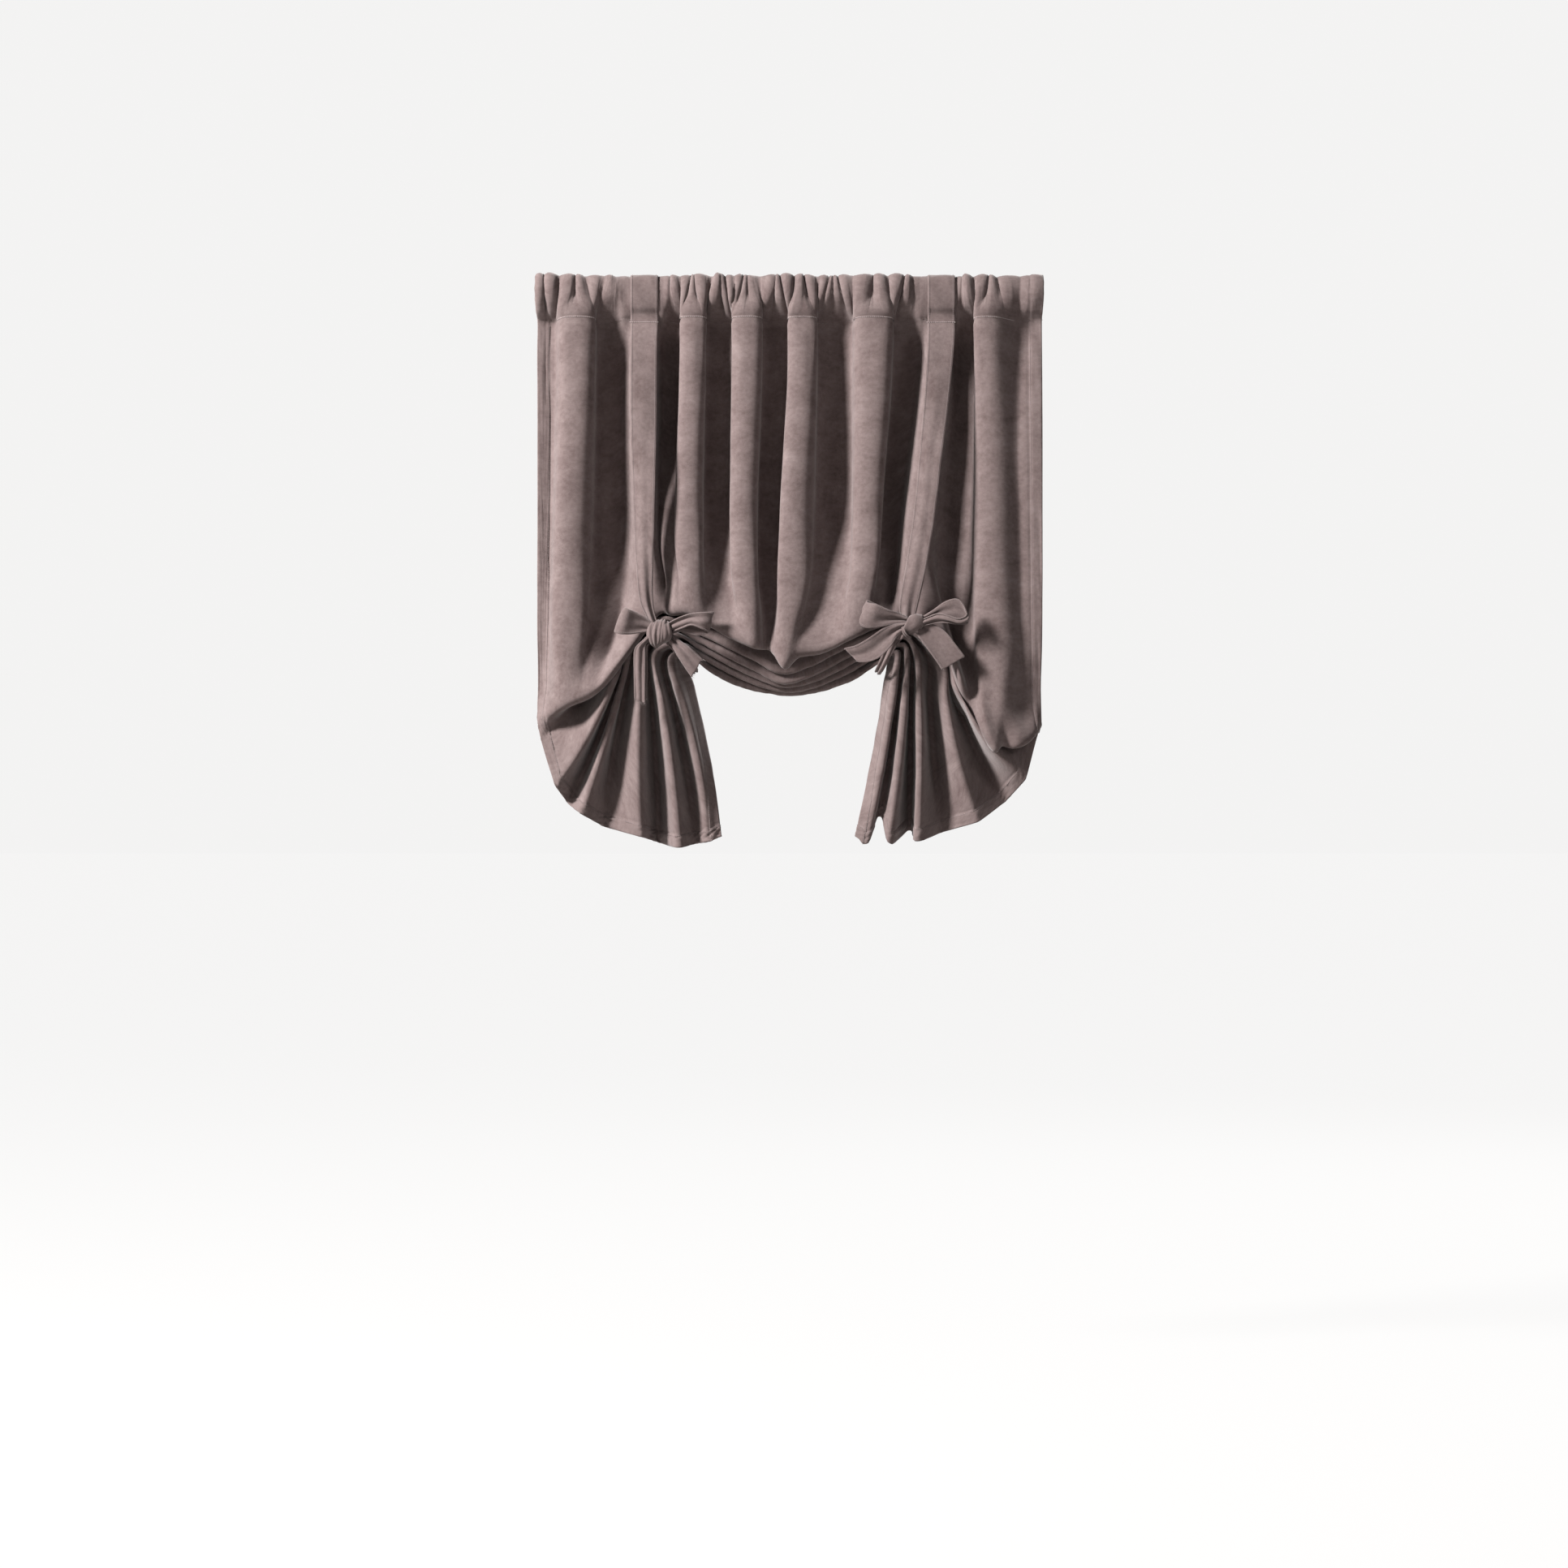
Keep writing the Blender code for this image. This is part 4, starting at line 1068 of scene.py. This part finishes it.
frontRightStrap = (
    (0.256, 0.030, 0.110, 0.0230),
    (0.248, 0.040, 0.205, 0.0215, 0.002),
    (0.239, 0.045, 0.290, 0.0195, 0.003, 0.005),
    (0.228, 0.049, 0.390, 0.0185, 0.003, 0.005),
    (0.214, 0.052, 0.480, 0.0180, 0.003, 0.004),
    (0.2020, 0.056, 0.540, 0.0165, 0.002),
    (0.1990, 0.058, 0.572, 0.0120, 0.002),
)
backRightStrap = (
    (0.256, -0.036, 0.110, 0.0230),
    (0.250, -0.046, 0.230, 0.0220),
    (0.240, -0.046, 0.350, 0.0190),
    (0.225, -0.046, 0.470, 0.0140),
    (0.200, -0.052, 0.565, 0.0090, 0.003),
    (0.170, -0.046, 0.622, 0.0065, 0, 0, 0.0045),
    (0.154, -0.024, 0.653, 0.0040, 0, 0, 0.0035),
    (0.150, 0.006, 0.658, 0.0040, 0, 0, 0.0035),
    (0.157, 0.034, 0.645, 0.0045, 0, 0, 0.0060),
    (0.176, 0.039, 0.606, 0.0065, 0, 0, 0.0060),
    (0.1980, 0.0395, 0.580, 0.0080, 0, 0, 0.0060),
)


def strap(across, front, rows):
    return strapOverPocket(across, front) + [strapStop(*row) for row in rows]


def knotWraps(knotPlace, wraps, seed):
    return [lofted(bowStops(knotPlace, wrap), perSpan=6, across=8, pleats=0.3 * tie["pleats"], phase=i,
                   seed=seed + i, sewn=()) for i, wrap in enumerate(wraps)]


def buildTies():
    pinch, sewnDrop = tie["pleats"], tie["sewnDrop"]
    left, right = tie["leftKnot"], tie["rightKnot"]
    bothSides = (1, -1)
    frontLeft = tiePiece("tie_front_left", [
        lofted(strap(tie["leftStrap"], True, frontLeftStrap), pleats=0.0045, phase=0.6, sewnDrop=sewnDrop),
        lofted(bowStops(left, leftOuterLoop), pleats=pinch, phase=0.3, seed=15, sewn=bothSides),
        lofted(bowStops(left, leftOuterTail), pleats=0.6 * pinch, phase=1.0, seed=17, ragged=0.0012),
        lofted(bowStops(left, leftTailFold), pleats=0.4 * pinch, phase=2.0, seed=19, ragged=0.0010),
    ] + knotWraps(left, leftKnotWraps, 30))
    backLeft = tiePiece("tie_back_left", [
        lofted(strap(tie["leftStrap"], False, backLeftStrap), pleats=0.0030, phase=1.4, seed=9),
        lofted(bowStops(left, leftInnerLoop), pleats=pinch, phase=2.0, seed=16, sewn=bothSides),
        lofted(bowStops(left, leftInnerTail), pleats=pinch, phase=2.6, seed=18, ragged=0.0014,
               sewn=bothSides),
    ])
    frontRight = tiePiece("tie_front_right", [
        lofted(strap(tie["rightStrap"], True, frontRightStrap), pleats=0.0045, phase=0.9, sewnDrop=sewnDrop),
        lofted(bowStops(right, rightOuterLoop), pleats=pinch, phase=0.5, seed=25, sewn=bothSides),
        lofted(bowStops(right, rightOuterTail), pleats=pinch, phase=1.2, seed=27, sewn=bothSides),
    ] + knotWraps(right, rightKnotWraps, 40))
    backRight = tiePiece("tie_back_right", [
        lofted(strap(tie["rightStrap"], False, backRightStrap), pleats=0.0030, phase=1.4, seed=10),
        lofted(bowStops(right, rightInnerLoop), pleats=pinch, phase=2.2, seed=26, sewn=bothSides),
        lofted(bowStops(right, rightInnerTail), pleats=pinch, phase=2.8, seed=28),
    ])
    for piece, node in ((frontLeft, "front_tie_left"), (backLeft, "back_tie_left"),
                        (frontRight, "front_tie_right"), (backRight, "back_tie_right")):
        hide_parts(node)


def frayedThreads():
    # loose threads at the cut ends, thin strips of a few turns each
    rng = np.random.default_rng(7)
    steps, sides = fray["steps"], fray["sides"]
    points, faces = [], []
    for edge, along, face in frayedEnds:
        along = along.mean(axis=0) / np.linalg.norm(along.mean(axis=0))
        across = (edge[-1] - edge[0]) / np.linalg.norm(edge[-1] - edge[0])
        for _ in range(fray["threads"]):
            place = rng.uniform(0, len(edge) - 1.001)
            corner = edge[int(place)]
            root = corner + (edge[int(place) + 1] - corner) * (place % 1) - along * fray["heldIn"]
            length = rng.uniform(*fray["length"])
            lean = across * rng.uniform(-0.5, 0.5) + face * rng.uniform(-0.3, 0.3)
            curl = across * rng.uniform(-0.5, 0.5)
            start = len(points)
            for step in range(steps + 1):
                share = step / steps
                middle = root + (along + lean * share + curl * share**2) * length * share
                radius = fray["radius"] * (1 - fray["taper"] * share)
                for side in range(sides):
                    angle = 2 * math.pi * side / sides
                    outward = across * math.cos(angle) + face * math.sin(angle)
                    points.append(tuple(middle + outward * radius))
            for step in range(steps):
                for side in range(sides):
                    a = start + step * sides + side
                    b = start + step * sides + (side + 1) % sides
                    faces.append((a, b, b + sides, a + sides))
    mesh = bpy.data.meshes.new("frayedThreads")
    mesh.from_pydata(points, [], faces)
    mesh.materials.append(paleThread)
    piece = addPiece("frayed_threads", mesh)
    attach(piece, "root")


buildTies()
stitchPiece("tie_stitches", tieSeams, stitching["threadRadius"], clothThread)
stitchPiece("strap_seams", strapSeams, stitching["seamThreadRadius"], paleThread)
frayedThreads()
print("ties made")


# The studio
studio = {
    "floorDrop": 1.853,
    "floorReach": 60.0,
    "floorColour": (0.34, 0.33, 0.32, 1),
    "shownAs": (1.0, 0.995, 0.99, 1),      # what the eye sees of the floor and the backdrop
    "backdrop": 0.90,
    "shownShare": 0.88,
    "frameWidth": 2.672,
    "frameCentre": (-0.0097, -0.848),
    "cameraDistance": 8.0,
    "fillStrength": 0.02,
    "lamps": (                             # name, place, aimed at, size, watts
        ("key", (-4.3, -2.6, 2.5), (0, 0, -0.45), (1.1, 1.4), 1350),
        ("front", (0.3, -4.5, 1.4), (0, 0, -0.5), (2.0, 1.6), 12),
        ("rim", (2.4, -2.2, 0.8), (0, 0, -0.5), (0.8, 1.4), 18),
        ("back", (3.0, 4.6, 1.8), (0, 0, -0.5), (2.0, 2.0), 260),
    ),
}


def seenRays(wire):
    # 1 on rays from the eye, also by way of something shiny or clear
    kinds = [wire.node("ShaderNodeLightPath", None, output) for output in ("Is Camera Ray", "Is Glossy Ray",
                                                                          "Is Transmission Ray")]
    return (kinds[0] + kinds[1] + kinds[2]).clamp()


def floorMaterial():
    made = bpy.data.materials.new("paleFloor")
    made.use_nodes = True
    tree = made.node_tree
    tree.nodes.clear()
    wire = Wire(tree, None)
    end = tree.nodes.new("ShaderNodeOutputMaterial")
    lit = wire.node("ShaderNodeBsdfPrincipled", None, 0, Base_Color=studio["floorColour"], Roughness=0.9)
    plain = wire.node("ShaderNodeEmission", None, 0, Color=studio["shownAs"],
                      Strength=studio["backdrop"] / studio["shownShare"])
    both = tree.nodes.new("ShaderNodeMixShader")
    (seenRays(wire) * studio["shownShare"]).into(both, 0)
    lit.into(both, 1)
    plain.into(both, 2)
    tree.links.new(both.outputs[0], end.inputs[0])
    return made


def buildStudio():
    reach = studio["floorReach"]
    made = bpy.data.meshes.new("studioFloor")
    corners = [(x, y, -studio["floorDrop"]) for x, y in ((-reach, -reach), (reach, -reach), (reach, reach),
                                                         (-reach, reach))]
    made.from_pydata(corners, [], [(0, 1, 2, 3)])
    made.materials.append(floorMaterial())
    floor = bpy.data.objects.new("studio_floor", made)
    bpy.context.scene.collection.objects.link(floor)

    world = bpy.data.worlds.new("studioWorld")
    bpy.context.scene.world = world
    world.use_nodes = True
    sky = world.node_tree.nodes["Background"]
    wire = Wire(world.node_tree, None)
    seen = seenRays(wire)
    sky.inputs["Color"].default_value = studio["shownAs"]
    strength = studio["fillStrength"] + seen * (studio["backdrop"] - studio["fillStrength"])
    strength.into(sky, "Strength")


def addLamp(name, place, target, size, power):
    light = bpy.data.lights.new(name, "AREA")
    light.shape = "RECTANGLE"
    light.size = size[0]
    light.size_y = size[1]
    light.energy = power
    lamp = bpy.data.objects.new(name, light)
    lamp.location = place
    lamp.rotation_euler = (Vector(target) - Vector(place)).to_track_quat("-Z", "Y").to_euler()
    bpy.context.scene.collection.objects.link(lamp)


def buildCamera():
    lens = bpy.data.cameras.new("photoCamera")
    lens.sensor_width = 36
    lens.lens = 36 * studio["cameraDistance"] / studio["frameWidth"]
    camera = bpy.data.objects.new("photoCamera", lens)
    camera.location = (studio["frameCentre"][0], -studio["cameraDistance"], studio["frameCentre"][1])
    camera.rotation_euler = (math.pi / 2, 0, 0)
    bpy.context.scene.collection.objects.link(camera)
    bpy.context.scene.camera = camera


buildStudio()
buildCamera()
for lamp in studio["lamps"]:
    addLamp(*lamp)
bpy.context.scene.view_settings.view_transform = "Standard"
print("studio made")
